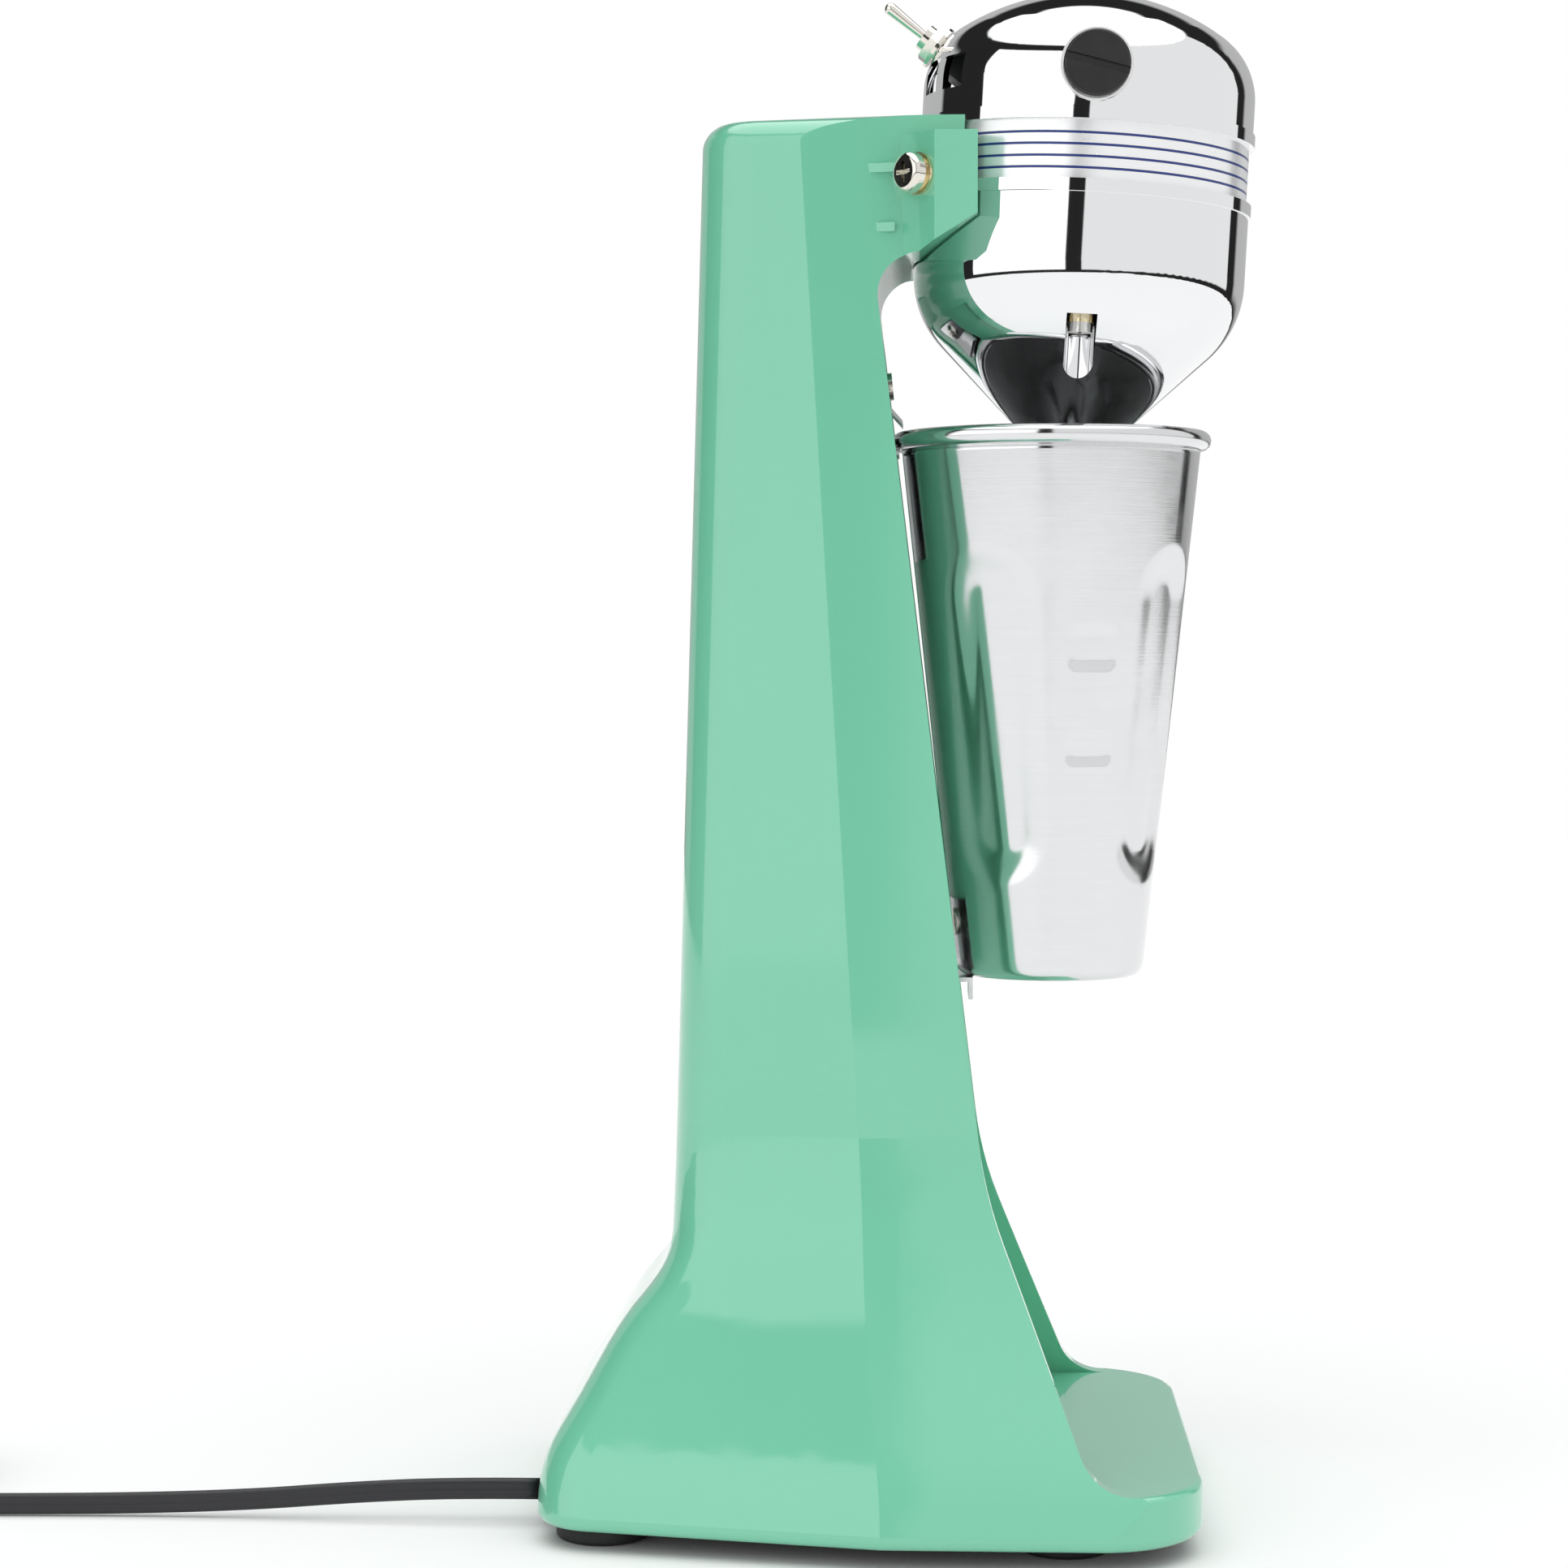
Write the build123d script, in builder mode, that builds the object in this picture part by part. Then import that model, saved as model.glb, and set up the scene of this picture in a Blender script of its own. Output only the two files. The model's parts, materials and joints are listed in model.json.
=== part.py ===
from build123d import *
import math
import os

# Milkshake mixer. Millimetres, +Z up, the cup side faces -Y, X is side to side.
# The origin is the middle of the footprint on the counter.

os.makedirs("parts", exist_ok=True)

# ---------------------------------------------------------------- driving sizes
# Stand
foot_lift = 5.0            # gap between the counter and the rim of the stand
stand_top = 375.5          # top of the column above the counter
wall = 3.0                 # thickness of the moulded shell
flange_wall = 5.5          # thickness of the two front flanges
column_half_top = 31.0     # half width at the top of the column
column_half_low = 44.5     # half width of the column, drawn down to the counter
base_half = 81.0           # half width of the foot
column_back_top = 53.5     # rear face at the top of the column
column_back_low = 63.5     # rear face of the column, drawn down to the counter
base_back = 95.2           # rear face of the foot
platform_front = -79.5     # front face of the platform
platform_top = 19.0        # height of the platform's upper face
platform_corner = 28.0     # corner radius of the platform, seen from above
back_corner = 17.0         # radius of the rear corners
crease_top = 27.0          # Y of the side crease at the top
crease_low = 4.4           # Y of the side crease at the counter
edge_top_z = 327.0         # where the flange edges end under the head
edge_top_y = 6.0
edge_low_z = 89.6          # middle of the bend where the flange edges sweep forward
edge_low_y = -22.8
sweep_bend = 110.0         # radius of that bend
flare_top = 105.0          # the foot's side flare starts here
back_flare_top = 78.0      # the foot's rear flare starts here
top_round = 7.0            # rounding of the column's top edge
flat_rim = 9.0             # the foot's outline is upright below this height
rear_facet = 11.0          # degrees the rear facets turn in
rim_round = 3.0            # rounding of the foot's lower edge
platform_round = 2.0       # rounding of the platform's upper edge

# Ears, channel and sweep of the stand
ear_half = 42.0            # half width over the ears
ear_front = -20.2
ear_bend = -8.9            # where the ear's rear face starts to slant
ear_slant = 50.0           # degrees from X to the slanted face's normal
ear_low = 348.5            # underside of the ear at its front
ear_high = 370.0
ear_screw_z = 359.1
rib_levels = (361.5, 345.9)
rib_thick = 2.4
rib_out = 2.4              # the ribs stand out from the column by this at their front
rib_behind = 1.2           # from the ear's root to the ribs' front edge
rib_long = 10.0
throat_y = -5.0            # underside of the saddle, where the arch ends
throat_z = 339.0
channel_top = 317.0
channel_bend = 62.0
channel_foot = -47.0
sweep_corner = -50.3       # the swept edges drawn on to the platform's top
sweep_round = 14.0         # radius where they run out onto it
wall_slope = 0.0942        # the front wall leans back this much per millimetre of height
rim_gap = 1.9              # from the cup's rim to the front wall
plate_thick = 1.5
plate_gap = 0.3            # between the plate's edge and the shell
plate_top = foot_lift + plate_thick
boss_radius = 4.5
boss_spots = [(-49.0, -62.0), (49.0, -62.0), (-44.0, 55.0), (44.0, 55.0)]
boss_screw_depth = 8.0
screw_radius = 1.8
foot_radius = 12.5
foot_recess = 2.6
foot_spots = [(-55.0, -43.5), (55.0, -43.5), (-47.0, 78.0), (47.0, 78.0)]
ballast_y = -12.0
ballast_wide = 84.0
ballast_deep = 52.0
ballast_thick = 8.5

# Steel strips that hold the cup
strip_thick = 1.2
bracket_half = 10.0
bracket_top = 312.0
bracket_low = 258.0
bracket_screw_z = 306.0
rest_half = 11.0
rest_rise = 19.9           # top of the rest above the cup's underside
rest_screw_rise = 13.4
rest_front = -19.8
rest_lip = 6.0
rest_gap = 0.15
pan_radius = 3.8
pan_high = 2.2

# Motor head
head_tilt = 3.1            # degrees, the top leans forward
head_radius = 45.0
head_lip = 0.6             # the lips beside the trim band stand out by this
head_y = -49.4             # head axis at the seam below the trim band
head_seam_z = 356.6        # height of that seam
band_height = 15.5         # height of the trim band
dome_rise = 55.4           # seam to the top of the dome
dome_corner = 20.0         # shoulder radius of the dome
dome_start = 27.5          # seam to the start of the shoulder
bowl_start = -21.3         # seam to the start of the bowl's curve
bowl_corner = 28.0         # radius of the bowl's curve
cone_angle = 46.0          # cone wall from the head axis
neck_radius = 10.5         # end of the cone
shell = 1.8                # thickness of the chrome shells
lip_height = 3.3
band_step = 0.8            # the trim band lies this far inside the head's radius
band_thick = 0.7
sleeve_outer = 43.4        # sleeve of the lower housing behind the trim band
sleeve_wall = 2.0
sleeve_height = 14.0
neck_depth = 11.0          # solid metal at the end of the cone
bearing_radius = 7.0
pocket_mid = 31.2          # screw pockets, from the head axis
pocket_radius = 4.0
pocket_wall = 1.6
pocket_ceiling = -34.6
pillar_radius = 4.0
bolt_radius = 2.0
washer_thick = 1.6
nut_height = 3.2
ear_screw_radius = 2.4
vent_angles = (-33.5, -16.5, 16.5, 33.5)
vent_level = 29.5
vent_width = 9.0
vent_height = 9.0

# Cup
cup_height = 148.5
cup_base_radius = 25.4
cup_top_radius = 41.0
cup_wall = 0.9
bead_radius = 2.6          # rolled rim, radius of its section
cup_y = -40.9              # cup axis
cup_top_z = 293.6          # top of the rolled rim
cup_foot_round = 3.0

# Motor
stack_low = -14.0          # lamination stack, from the seam
stack_high = 10.0
field_radius = 38.0
armature_radius = 17.8
air_gap = 0.5
shaft_radius = 3.0
running_fit = 0.05
brush_level = 29.5         # brushes above the seam
commutator_radius = 11.0
bolt_circle = 32.5         # through bolts, from the head axis
coil_end = 7.0
slots = 12
slot_circle = 13.2
slot_radius = 2.3
fan_low = -31.0
fan_radius = 26.5
holder_radius = 7.0
holder_flange = 9.5
flange_stand = 1.0
cap_stem = 5.0
cap_radius = 8.75
cap_thick = 2.4
cap_slot = 2.0
cap_slot_turn = 12.0
brush_tall = 6.0
brush_wide = 5.0
brush_long = 13.0

# Mixing rod
rod_radius = 2.4
rod_reach = 202.0          # seam to the underside of the agitator
agitator_radius = 12.5

# Toggle switch
toggle_rise = 36.0         # degrees above the head's own level
bushing_radius = 3.6
bushing_out = 5.6
washer_stand = 0.0         # the flat washer bridges the dome's curve
toggle_nut_flat = 10.5
body_drop = 1.3            # the switch body sits this far inside the dome's wall
body_deep = 10.0
lever_out = 19.0           # seat to the lever's tip
lever_tip = 1.7

# Lead
lead_radius = 2.9
exit_x = -34.0             # the lead leaves the foot here
exit_z = 8.8
relief_radius = 3.9
relief_stand = 1.0
gland_depth = 2.0          # the gland reaches this far inside the shell
grommet_radius = 3.6
inner_lead_radius = 2.2
lead_entry_z = 346.0
coil_radius = 32.0         # middle of the coil's turns
coil_wide = 12.0           # turns lie two wide
coil_tall = 11.0           # and two high
coil_spot = (0.0, 297.0)
plug_wide = 25.0
plug_long = 34.0
plug_tall = 14.0
plug_stub = 7.0            # the lead's last stretch, from the coil into the plug
blade_long = 17.0
blade_spread = 12.7

# ---------------------------------------------------------------- frames of reference
tilt = math.radians(head_tilt)
head_axis_dir = Vector(0, -math.sin(tilt), math.cos(tilt))
head_origin = Vector(0, head_y, head_seam_z)
head_axis = Axis(head_origin, head_axis_dir)
head_level = Plane(origin=head_origin, x_dir=(1, 0, 0), z_dir=head_axis_dir)
head_profile = Plane(
    origin=head_origin,
    x_dir=(1, 0, 0),
    z_dir=(0, -math.cos(tilt), -math.sin(tilt)),
)
side_view = Plane.YZ
edge_rise = (edge_top_y - edge_low_y, edge_top_z - edge_low_z)
sweep_lean = math.atan2(edge_low_y - sweep_corner, edge_low_z - platform_top)
sweep_foot = sweep_corner - sweep_round * math.tan(math.pi / 4 - sweep_lean / 2)
wall_lean = math.atan(wall_slope)
cup_low_z = cup_top_z - cup_height
rest_top = cup_low_z + rest_rise
rest_screw_z = cup_low_z + rest_screw_rise


def head_point(x, y, s):
    """A point given in the head's own frame, s above the seam."""
    return head_level.from_local_coords(Vector(x, y, s))


def head_radial(angle, radius, s):
    """A plane square to the radius at an angle from +X, seen down the head axis."""
    a = math.radians(angle)
    spot = head_point(radius * math.cos(a), radius * math.sin(a), s)
    out = head_point(math.cos(a), math.sin(a), 0) - head_origin
    return Plane(origin=spot, x_dir=head_axis_dir, z_dir=out)


rise = math.radians(toggle_rise)
toggle_spot = head_point(
    0,
    head_radius - dome_corner + dome_corner * math.cos(rise),
    dome_start + dome_corner * math.sin(rise),
)
toggle_out = head_point(0, math.cos(rise), math.sin(rise)) - head_origin
toggle_axis = Axis(toggle_spot, toggle_out)
toggle_seat = Plane(origin=toggle_spot, x_dir=(1, 0, 0), z_dir=toggle_out)
toggle_profile = Plane(
    origin=toggle_spot, x_dir=(1, 0, 0), z_dir=Vector(1, 0, 0).cross(toggle_out)
)
head_back_y = head_y - (lead_entry_z - head_seam_z) * math.tan(tilt) + head_radius
lead_entry = Plane(origin=(0, head_back_y, lead_entry_z), x_dir=(1, 0, 0), z_dir=(0, 1, 0))


# ---------------------------------------------------------------- shape of the stand
def along(z, top, low):
    """A straight taper between the column's top and the counter."""
    return low + (top - low) * z / stand_top


def flared(top, low, foot, bend_z, shares, rim_slope, inset):
    """Half of an outline: straight down the column, then swept out to the foot."""
    start = (along(bend_z, top, low) - inset, bend_z)
    reach = foot - along(bend_z, top, low)
    middle = [(start[0] + reach * out, flat_rim + (bend_z - flat_rim) * up) for out, up in shares]
    rim = (foot - inset, flat_rim)
    Line((top - inset, stand_top), start)
    Spline(start, *middle, rim, tangents=((low - top, -stand_top), (rim_slope, -1.0)))
    Line(rim, (foot - inset, foot_lift))


def stand_block(inset, corner):
    """The stand's sides and back as one solid, drawn in by the inset."""
    facet = math.tan(math.radians(rear_facet))
    far = 2 * base_half
    with BuildPart() as block:
        # Front facets, square to X.
        with BuildSketch(Plane.XZ):
            with BuildLine():
                flared(column_half_top, column_half_low, base_half, flare_top, side_shares, 0.25, inset)
                Line((base_half - inset, foot_lift), (0, foot_lift))
                Line((0, stand_top), (column_half_top - inset, stand_top))
                mirror(about=Plane.YZ)
            make_face()
        extrude(amount=far, both=True)
        # Rear facets, turned in towards the back.
        top = column_half_top + crease_top * facet
        low = column_half_low + crease_low * facet
        foot = base_half + crease_low * facet
        for side in (1, -1):
            with BuildSketch(Plane.XZ):
                with BuildLine():
                    flared(top, low, foot, flare_top, side_shares, 0.25, inset)
                    Polyline((foot - inset, foot_lift), (-far, foot_lift), (-far, stand_top))
                    Line((-far, stand_top), (top - inset, stand_top))
                    if side < 0:
                        mirror(about=Plane.YZ, mode=Mode.REPLACE)
                make_face()
            extrude(amount=far, dir=(-side * facet, 1, 0), both=True, mode=Mode.INTERSECT)
        # Back face.
        with BuildSketch(side_view):
            with BuildLine():
                flared(column_back_top, column_back_low, base_back, back_flare_top, back_shares, 0.0, inset)
                Polyline((base_back - inset, foot_lift), (reach_forward, foot_lift), (reach_forward, stand_top))
                Line((reach_forward, stand_top), (column_back_top - inset, stand_top))
            make_face()
        extrude(amount=far, both=True, mode=Mode.INTERSECT)
        corners = block.edges().filter_by(
            lambda e: e.center().Y > 40 and e.bounding_box().size.Z > 3 and abs(e.center().X) > 5
        )
        fillet(corners, corner - inset)
    return block.part


side_shares = [(0.30, 0.56), (0.79, 0.20)]        # share of the flare, share of the height
back_shares = [(0.32, 0.70), (0.74, 0.36)]
reach_forward = platform_front - 12.0
far = 2 * base_half


def front_wall(z):
    """Y of the channel's flat front wall at a height."""
    rim_back = cup_y + cup_top_radius + bead_radius
    return rim_back + rim_gap + wall_slope * (z - cup_top_z)


def channel_edge(back_off, floor):
    """The channel's wall in side view: straight, then curving forward onto the platform."""
    low = (front_wall(channel_bend) + back_off, channel_bend)
    high = (front_wall(stand_top) + back_off, stand_top)
    Spline((channel_foot, floor), low, tangents=((1.0, 0.0), (wall_slope, 1.0)))
    Line(low, high)


def platform_plan(inset):
    """The foot's front seen from above, with its round corners, in the current sketch."""
    with Locations((0, platform_front + inset + far)):
        RectangleRounded(2 * (base_half - inset), 2 * far, platform_corner - inset)


def ear_screw_plane(side, radius):
    """A plane square to an ear screw, at a distance from the head axis."""
    a = math.radians(ear_slant)
    out = Vector(side * math.cos(a), math.sin(a), 0)
    level = ear_screw_z - head_seam_z
    axis_y = head_y - level * math.tan(tilt)
    return Plane(origin=Vector(0, axis_y, ear_screw_z) + out * radius, x_dir=(0, 0, 1), z_dir=out)


def wall_plane(z, lift):
    """A plane on the front wall, facing out, lifted off it."""
    out = Vector(0, -math.cos(wall_lean), math.sin(wall_lean))
    return Plane(origin=Vector(0, front_wall(z), z) + out * lift, x_dir=(1, 0, 0), z_dir=out)


def finish_part(builder, name):
    """Labels a finished piece and writes its STEP file."""
    builder.part.label = name
    export_step(builder.part, f"parts/{name}.step")


# ---------------------------------------------------------------- stand_housing
outer_block = stand_block(0, back_corner)
channel_block = stand_block(flange_wall, back_corner)
cavity_block = stand_block(wall, back_corner)
plate_block = stand_block(wall + plate_gap, back_corner)

with BuildPart() as channel_cut:
    add(channel_block)
    with BuildSketch(side_view):
        with BuildLine():
            channel_edge(0, platform_top)
            Polyline(
                (front_wall(stand_top), stand_top),
                (reach_forward - 5, stand_top),
                (reach_forward - 5, platform_top),
                (channel_foot, platform_top),
            )
        make_face()
    extrude(amount=far, both=True, mode=Mode.INTERSECT)
    with BuildSketch(Plane.XY.offset(channel_top)):
        Rectangle(2 * far, 2 * far)
    extrude(amount=stand_top, mode=Mode.SUBTRACT)

with BuildPart() as cavity_cut:
    add(cavity_block)
    with BuildSketch(side_view):
        with BuildLine():
            channel_edge(wall, platform_top - wall)
            Polyline(
                (front_wall(stand_top) + wall, stand_top),
                (far, stand_top),
                (far, 0),
                (platform_front + wall, 0),
                (platform_front + wall, platform_top - wall),
                (channel_foot, platform_top - wall),
            )
        make_face()
    extrude(amount=far, both=True, mode=Mode.INTERSECT)
    with BuildSketch(Plane.XY):
        platform_plan(wall)
    extrude(amount=stand_top - wall - 1, mode=Mode.INTERSECT)
    # The bosses for the plate's screws are left standing.
    with BuildSketch(Plane.XY.offset(plate_top)):
        with Locations(*boss_spots):
            Circle(boss_radius)
    extrude(amount=stand_top, mode=Mode.SUBTRACT)

slant = math.radians(ear_slant)
ear_run = (ear_half - column_half_top) / math.sin(slant)
ear_root_y = ear_bend + ear_run * math.cos(slant)

with BuildPart() as stand_housing:
    add(outer_block)
    # The ears that hold the head, one on each side.
    with BuildSketch(Plane.XY.offset(edge_top_z - 4)):
        with BuildLine():
            Polyline(
                (0, ear_front),
                (ear_half, ear_front),
                (ear_half, ear_bend),
                (column_half_top, ear_root_y),
                (column_half_top - 2, ear_root_y + 12),
                (0, ear_root_y + 12),
            )
            mirror(about=Plane.YZ)
        make_face()
    extrude(amount=ear_high - edge_top_z + 4)
    # Two tapered ribs behind each ear.
    for rib_z in rib_levels:
        with BuildSketch(Plane.XY.offset(rib_z - rib_thick / 2)):
            with BuildLine():
                Polyline(
                    (0, ear_root_y + rib_long),
                    (column_half_top, ear_root_y + rib_long),
                    (column_half_top + rib_out, ear_root_y + rib_behind),
                    (0, ear_root_y + rib_behind),
                )
                mirror(about=Plane.YZ)
            make_face()
        extrude(amount=rib_thick)
    # Everything in front of the flange edges is open.
    with BuildSketch(side_view):
        with BuildLine():
            FilletPolyline(
                (reach_forward - 5, platform_top),
                (sweep_corner, platform_top),
                (edge_low_y, edge_low_z),
                (edge_top_y, edge_top_z),
                radius=[sweep_round, sweep_bend],
            )
            TangentArc((edge_top_y, edge_top_z), (throat_y, throat_z), tangent=edge_rise)
            Polyline(
                (throat_y, throat_z),
                (ear_front, ear_low),
                (ear_front, stand_top + 5),
                (reach_forward - 5, stand_top + 5),
                (reach_forward - 5, platform_top),
            )
        make_face()
    extrude(amount=far, both=True, mode=Mode.SUBTRACT)
    # Front of the platform, with round corners.
    with BuildSketch(Plane.XY):
        platform_plan(0)
    extrude(amount=stand_top + 5, mode=Mode.INTERSECT)
    top_rim = stand_housing.faces().filter_by(Axis.Z).sort_by(Axis.Z)[-1].edges()
    fillet(top_rim.filter_by(lambda e: e.center().Y > ear_root_y + 11), top_round)
    fillet(stand_housing.edges().filter_by_position(Axis.Z, foot_lift, foot_lift), rim_round)
    platform_rim = stand_housing.edges().filter_by_position(Axis.Z, platform_top, platform_top)
    fillet(platform_rim.filter_by(lambda e: e.center().Y < sweep_foot - 6), platform_round)
    add(channel_cut.part, mode=Mode.SUBTRACT)
    # Seat for the head.
    with BuildSketch(head_level.offset(-60)):
        Circle(head_radius + head_lip)
    extrude(amount=140, mode=Mode.SUBTRACT)
    add(cavity_cut.part, mode=Mode.SUBTRACT)

    with BuildSketch(Plane.XY.offset(plate_top)):
        with Locations(*boss_spots):
            Circle(screw_radius)
    extrude(amount=boss_screw_depth, mode=Mode.SUBTRACT)
    # Ear screw holes.
    for side in (1, -1):
        with BuildSketch(ear_screw_plane(side, head_radius - 5)):
            Circle(ear_screw_radius)
        extrude(amount=30, mode=Mode.SUBTRACT)
    # Screw holes in the front wall.
    for z in (bracket_screw_z, rest_screw_z):
        with BuildSketch(wall_plane(z, 5)):
            Circle(screw_radius)
        extrude(amount=-15, mode=Mode.SUBTRACT)
    # Way through for the lead, at the foot and behind the head.
    with BuildSketch(Plane.XZ.offset(-base_back + 12)):
        with Locations((exit_x, exit_z)):
            Circle(relief_radius)
    extrude(amount=-40, mode=Mode.SUBTRACT)
    with BuildSketch(lead_entry.offset(-4)):
        Circle(grommet_radius)
    extrude(amount=40, mode=Mode.SUBTRACT)
finish_part(stand_housing, "stand_housing")

# ---------------------------------------------------------------- base_plate, feet and ballast
with BuildPart() as base_plate:
    add(plate_block)
    with BuildSketch(Plane.XY.offset(foot_lift)):
        platform_plan(wall + plate_gap)
    extrude(amount=plate_thick, mode=Mode.INTERSECT)
    with BuildSketch(Plane.XY):
        with Locations(*foot_spots, *boss_spots):
            Circle(screw_radius)
    extrude(amount=20, mode=Mode.SUBTRACT)
    # Notch around the gland.
    with BuildSketch(Plane.XZ.offset(-base_back + wall + gland_depth + 1)):
        with Locations((exit_x, exit_z)):
            Circle(relief_radius + plate_gap)
    extrude(amount=-20, mode=Mode.SUBTRACT)
finish_part(base_plate, "base_plate")

with BuildPart() as base_screws:
    with BuildSketch(Plane.XY.offset(foot_lift)):
        with Locations(*boss_spots):
            Circle(screw_radius)
    extrude(amount=boss_screw_depth)
    with BuildSketch(Plane.XY.offset(foot_lift)):
        with Locations(*boss_spots):
            Circle(screw_radius * 1.9)
    extrude(amount=-1.8)
finish_part(base_screws, "base_screws")

with BuildPart() as rubber_feet:
    with BuildSketch(Plane.XY):
        with Locations(*foot_spots):
            Circle(foot_radius)
    extrude(amount=foot_lift)
    fillet(rubber_feet.edges().group_by(Axis.Z)[0], 1.2)
    with BuildSketch(Plane.XY):
        with Locations(*foot_spots):
            Circle(screw_radius * 1.9)
    extrude(amount=foot_recess, mode=Mode.SUBTRACT)
    with BuildSketch(Plane.XY):
        with Locations(*foot_spots):
            Circle(screw_radius)
    extrude(amount=foot_lift, mode=Mode.SUBTRACT)
finish_part(rubber_feet, "rubber_feet")

with BuildPart() as foot_screws:
    with BuildSketch(Plane.XY.offset(foot_recess - 1.6)):
        with Locations(*foot_spots):
            Circle(screw_radius * 1.9)
    extrude(amount=1.6)
    with BuildSketch(Plane.XY.offset(foot_recess)):
        with Locations(*foot_spots):
            Circle(screw_radius)
    extrude(amount=plate_top - foot_recess)
finish_part(foot_screws, "foot_screws")

with BuildPart() as ballast_weight:
    with BuildSketch(Plane.XY.offset(plate_top)):
        with Locations((0, ballast_y)):
            RectangleRounded(ballast_wide, ballast_deep, 6)
    extrude(amount=ballast_thick)
    chamfer(ballast_weight.edges().group_by(Axis.Z)[-1], 1)
finish_part(ballast_weight, "ballast_weight")

# ---------------------------------------------------------------- upper_motor_housing
crown_rise = dome_rise - dome_start
shoulder = head_radius - dome_corner
crown = (shoulder**2 + crown_rise**2 - dome_corner**2) / (2 * (crown_rise - dome_corner))
crown_low = dome_rise - crown
crown_turn = math.degrees(math.atan2(dome_start - crown_low, shoulder))


def dome_outline(inset, bottom):
    """Half section of the dome, closed along the head axis."""
    edge = head_radius - inset
    with BuildLine() as outline:
        Line((0, bottom), (edge, bottom))
        Line((edge, bottom), (edge, dome_start))
        CenterArc((shoulder, dome_start), dome_corner - inset, 0, crown_turn)
        CenterArc((0, crown_low), crown - inset, crown_turn, 90 - crown_turn)
        Line((0, dome_rise - inset), (0, bottom))
    make_face(outline.edges())


with BuildPart() as upper_motor_housing:
    with BuildSketch(head_profile):
        dome_outline(0, band_height)
        with Locations((head_radius + head_lip - 1, band_height + lip_height / 2)):
            Rectangle(2, lip_height)
    revolve(axis=head_axis)
    with BuildSketch(head_profile):
        dome_outline(shell, band_height - 1)
    revolve(axis=head_axis, mode=Mode.SUBTRACT)
    for angle in vent_angles:
        with BuildSketch(head_radial(90 + angle, head_radius - 8, vent_level)):
            Rectangle(vent_height, vent_width)
        extrude(amount=16, mode=Mode.SUBTRACT)
    for angle in (0, 180):
        with BuildSketch(head_radial(angle, head_radius - 12, brush_level)):
            Circle(holder_flange)
        extrude(amount=16, mode=Mode.SUBTRACT)
    with BuildSketch(toggle_seat.offset(-6)):
        Circle(bushing_radius)
    extrude(amount=12, mode=Mode.SUBTRACT)
finish_part(upper_motor_housing, "upper_motor_housing")

# ---------------------------------------------------------------- lower_motor_housing
turn = math.radians(cone_angle)
bowl_mid = head_radius - bowl_corner


def bowl_outline(inset, floor):
    """Half section of the bowl and cone down to a floor, closed along the head axis."""
    edge = head_radius - inset
    radius = bowl_corner - inset
    knee = (bowl_mid + radius * math.cos(turn), bowl_start - radius * math.sin(turn))
    toe = knee[0] - (knee[1] - floor) * math.tan(turn)
    with BuildLine() as outline:
        Line((0, 0), (edge, 0))
        Line((edge, 0), (edge, bowl_start))
        CenterArc((bowl_mid, bowl_start), radius, 0, -cone_angle)
        Polyline(knee, (toe, floor), (0, floor), (0, 0))
    make_face(outline.edges())


cone_knee_s = bowl_start - bowl_corner * math.sin(turn)
cone_knee_r = bowl_mid + bowl_corner * math.cos(turn)
neck_s = cone_knee_s - (cone_knee_r - neck_radius) / math.tan(turn)
neck_floor = neck_s + neck_depth
bearing_low = neck_s + 2.5
ceiling = pocket_ceiling + pocket_wall

with BuildPart() as bowl_solid:
    with BuildSketch(head_profile):
        bowl_outline(0, neck_s)
    revolve(axis=head_axis)

with BuildPart() as pocket_walls:
    for side in (1, -1):
        with BuildSketch(head_level.offset(neck_s)):
            with Locations((side * pocket_mid, 0)):
                Circle(pocket_radius + pocket_wall)
            with Locations((side * (pocket_mid + 15), 0)):
                Rectangle(30, 2 * (pocket_radius + pocket_wall))
        extrude(amount=ceiling - neck_s)
    add(bowl_solid.part, mode=Mode.INTERSECT)

with BuildPart() as lower_motor_housing:
    add(bowl_solid.part)
    with BuildSketch(head_profile):
        with Locations((head_radius + head_lip - 1, -lip_height / 2)):
            Rectangle(2, lip_height)
    revolve(axis=head_axis)
    with BuildSketch(head_profile):
        bowl_outline(shell, neck_floor)
    revolve(axis=head_axis, mode=Mode.SUBTRACT)
    with BuildSketch(head_profile):
        with Locations((sleeve_outer - sleeve_wall / 2, (sleeve_height - 4) / 2)):
            Rectangle(sleeve_wall, sleeve_height + 4)
    revolve(axis=head_axis)
    add(pocket_walls.part)
    for side in (1, -1):
        with BuildSketch(head_level.offset(ceiling - 1)):
            with Locations((side * bolt_circle, 0)):
                Circle(pillar_radius)
        extrude(amount=stack_low - ceiling + 1)
    for side in (1, -1):
        with BuildSketch(head_level.offset(neck_s - 5)):
            with Locations((side * pocket_mid, 0)):
                Circle(pocket_radius)
            with Locations((side * (pocket_mid + 15), 0)):
                Rectangle(30, 2 * pocket_radius)
        extrude(amount=pocket_ceiling - neck_s + 5, mode=Mode.SUBTRACT)
        with BuildSketch(head_level.offset(pocket_ceiling - 1)):
            with Locations((side * bolt_circle, 0)):
                Circle(bolt_radius)
        extrude(amount=30, mode=Mode.SUBTRACT)
        with BuildSketch(ear_screw_plane(side, head_radius - 5)):
            Circle(ear_screw_radius)
        extrude(amount=8, mode=Mode.SUBTRACT)
    with BuildSketch(head_level.offset(bearing_low)):
        Circle(bearing_radius)
    extrude(amount=20, mode=Mode.SUBTRACT)
    with BuildSketch(head_level.offset(neck_s - 1)):
        Circle(shaft_radius + 0.6)
    extrude(amount=10, mode=Mode.SUBTRACT)
    with BuildSketch(lead_entry.offset(-4)):
        Circle(grommet_radius)
    extrude(amount=16, mode=Mode.SUBTRACT)
finish_part(lower_motor_housing, "lower_motor_housing")

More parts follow.
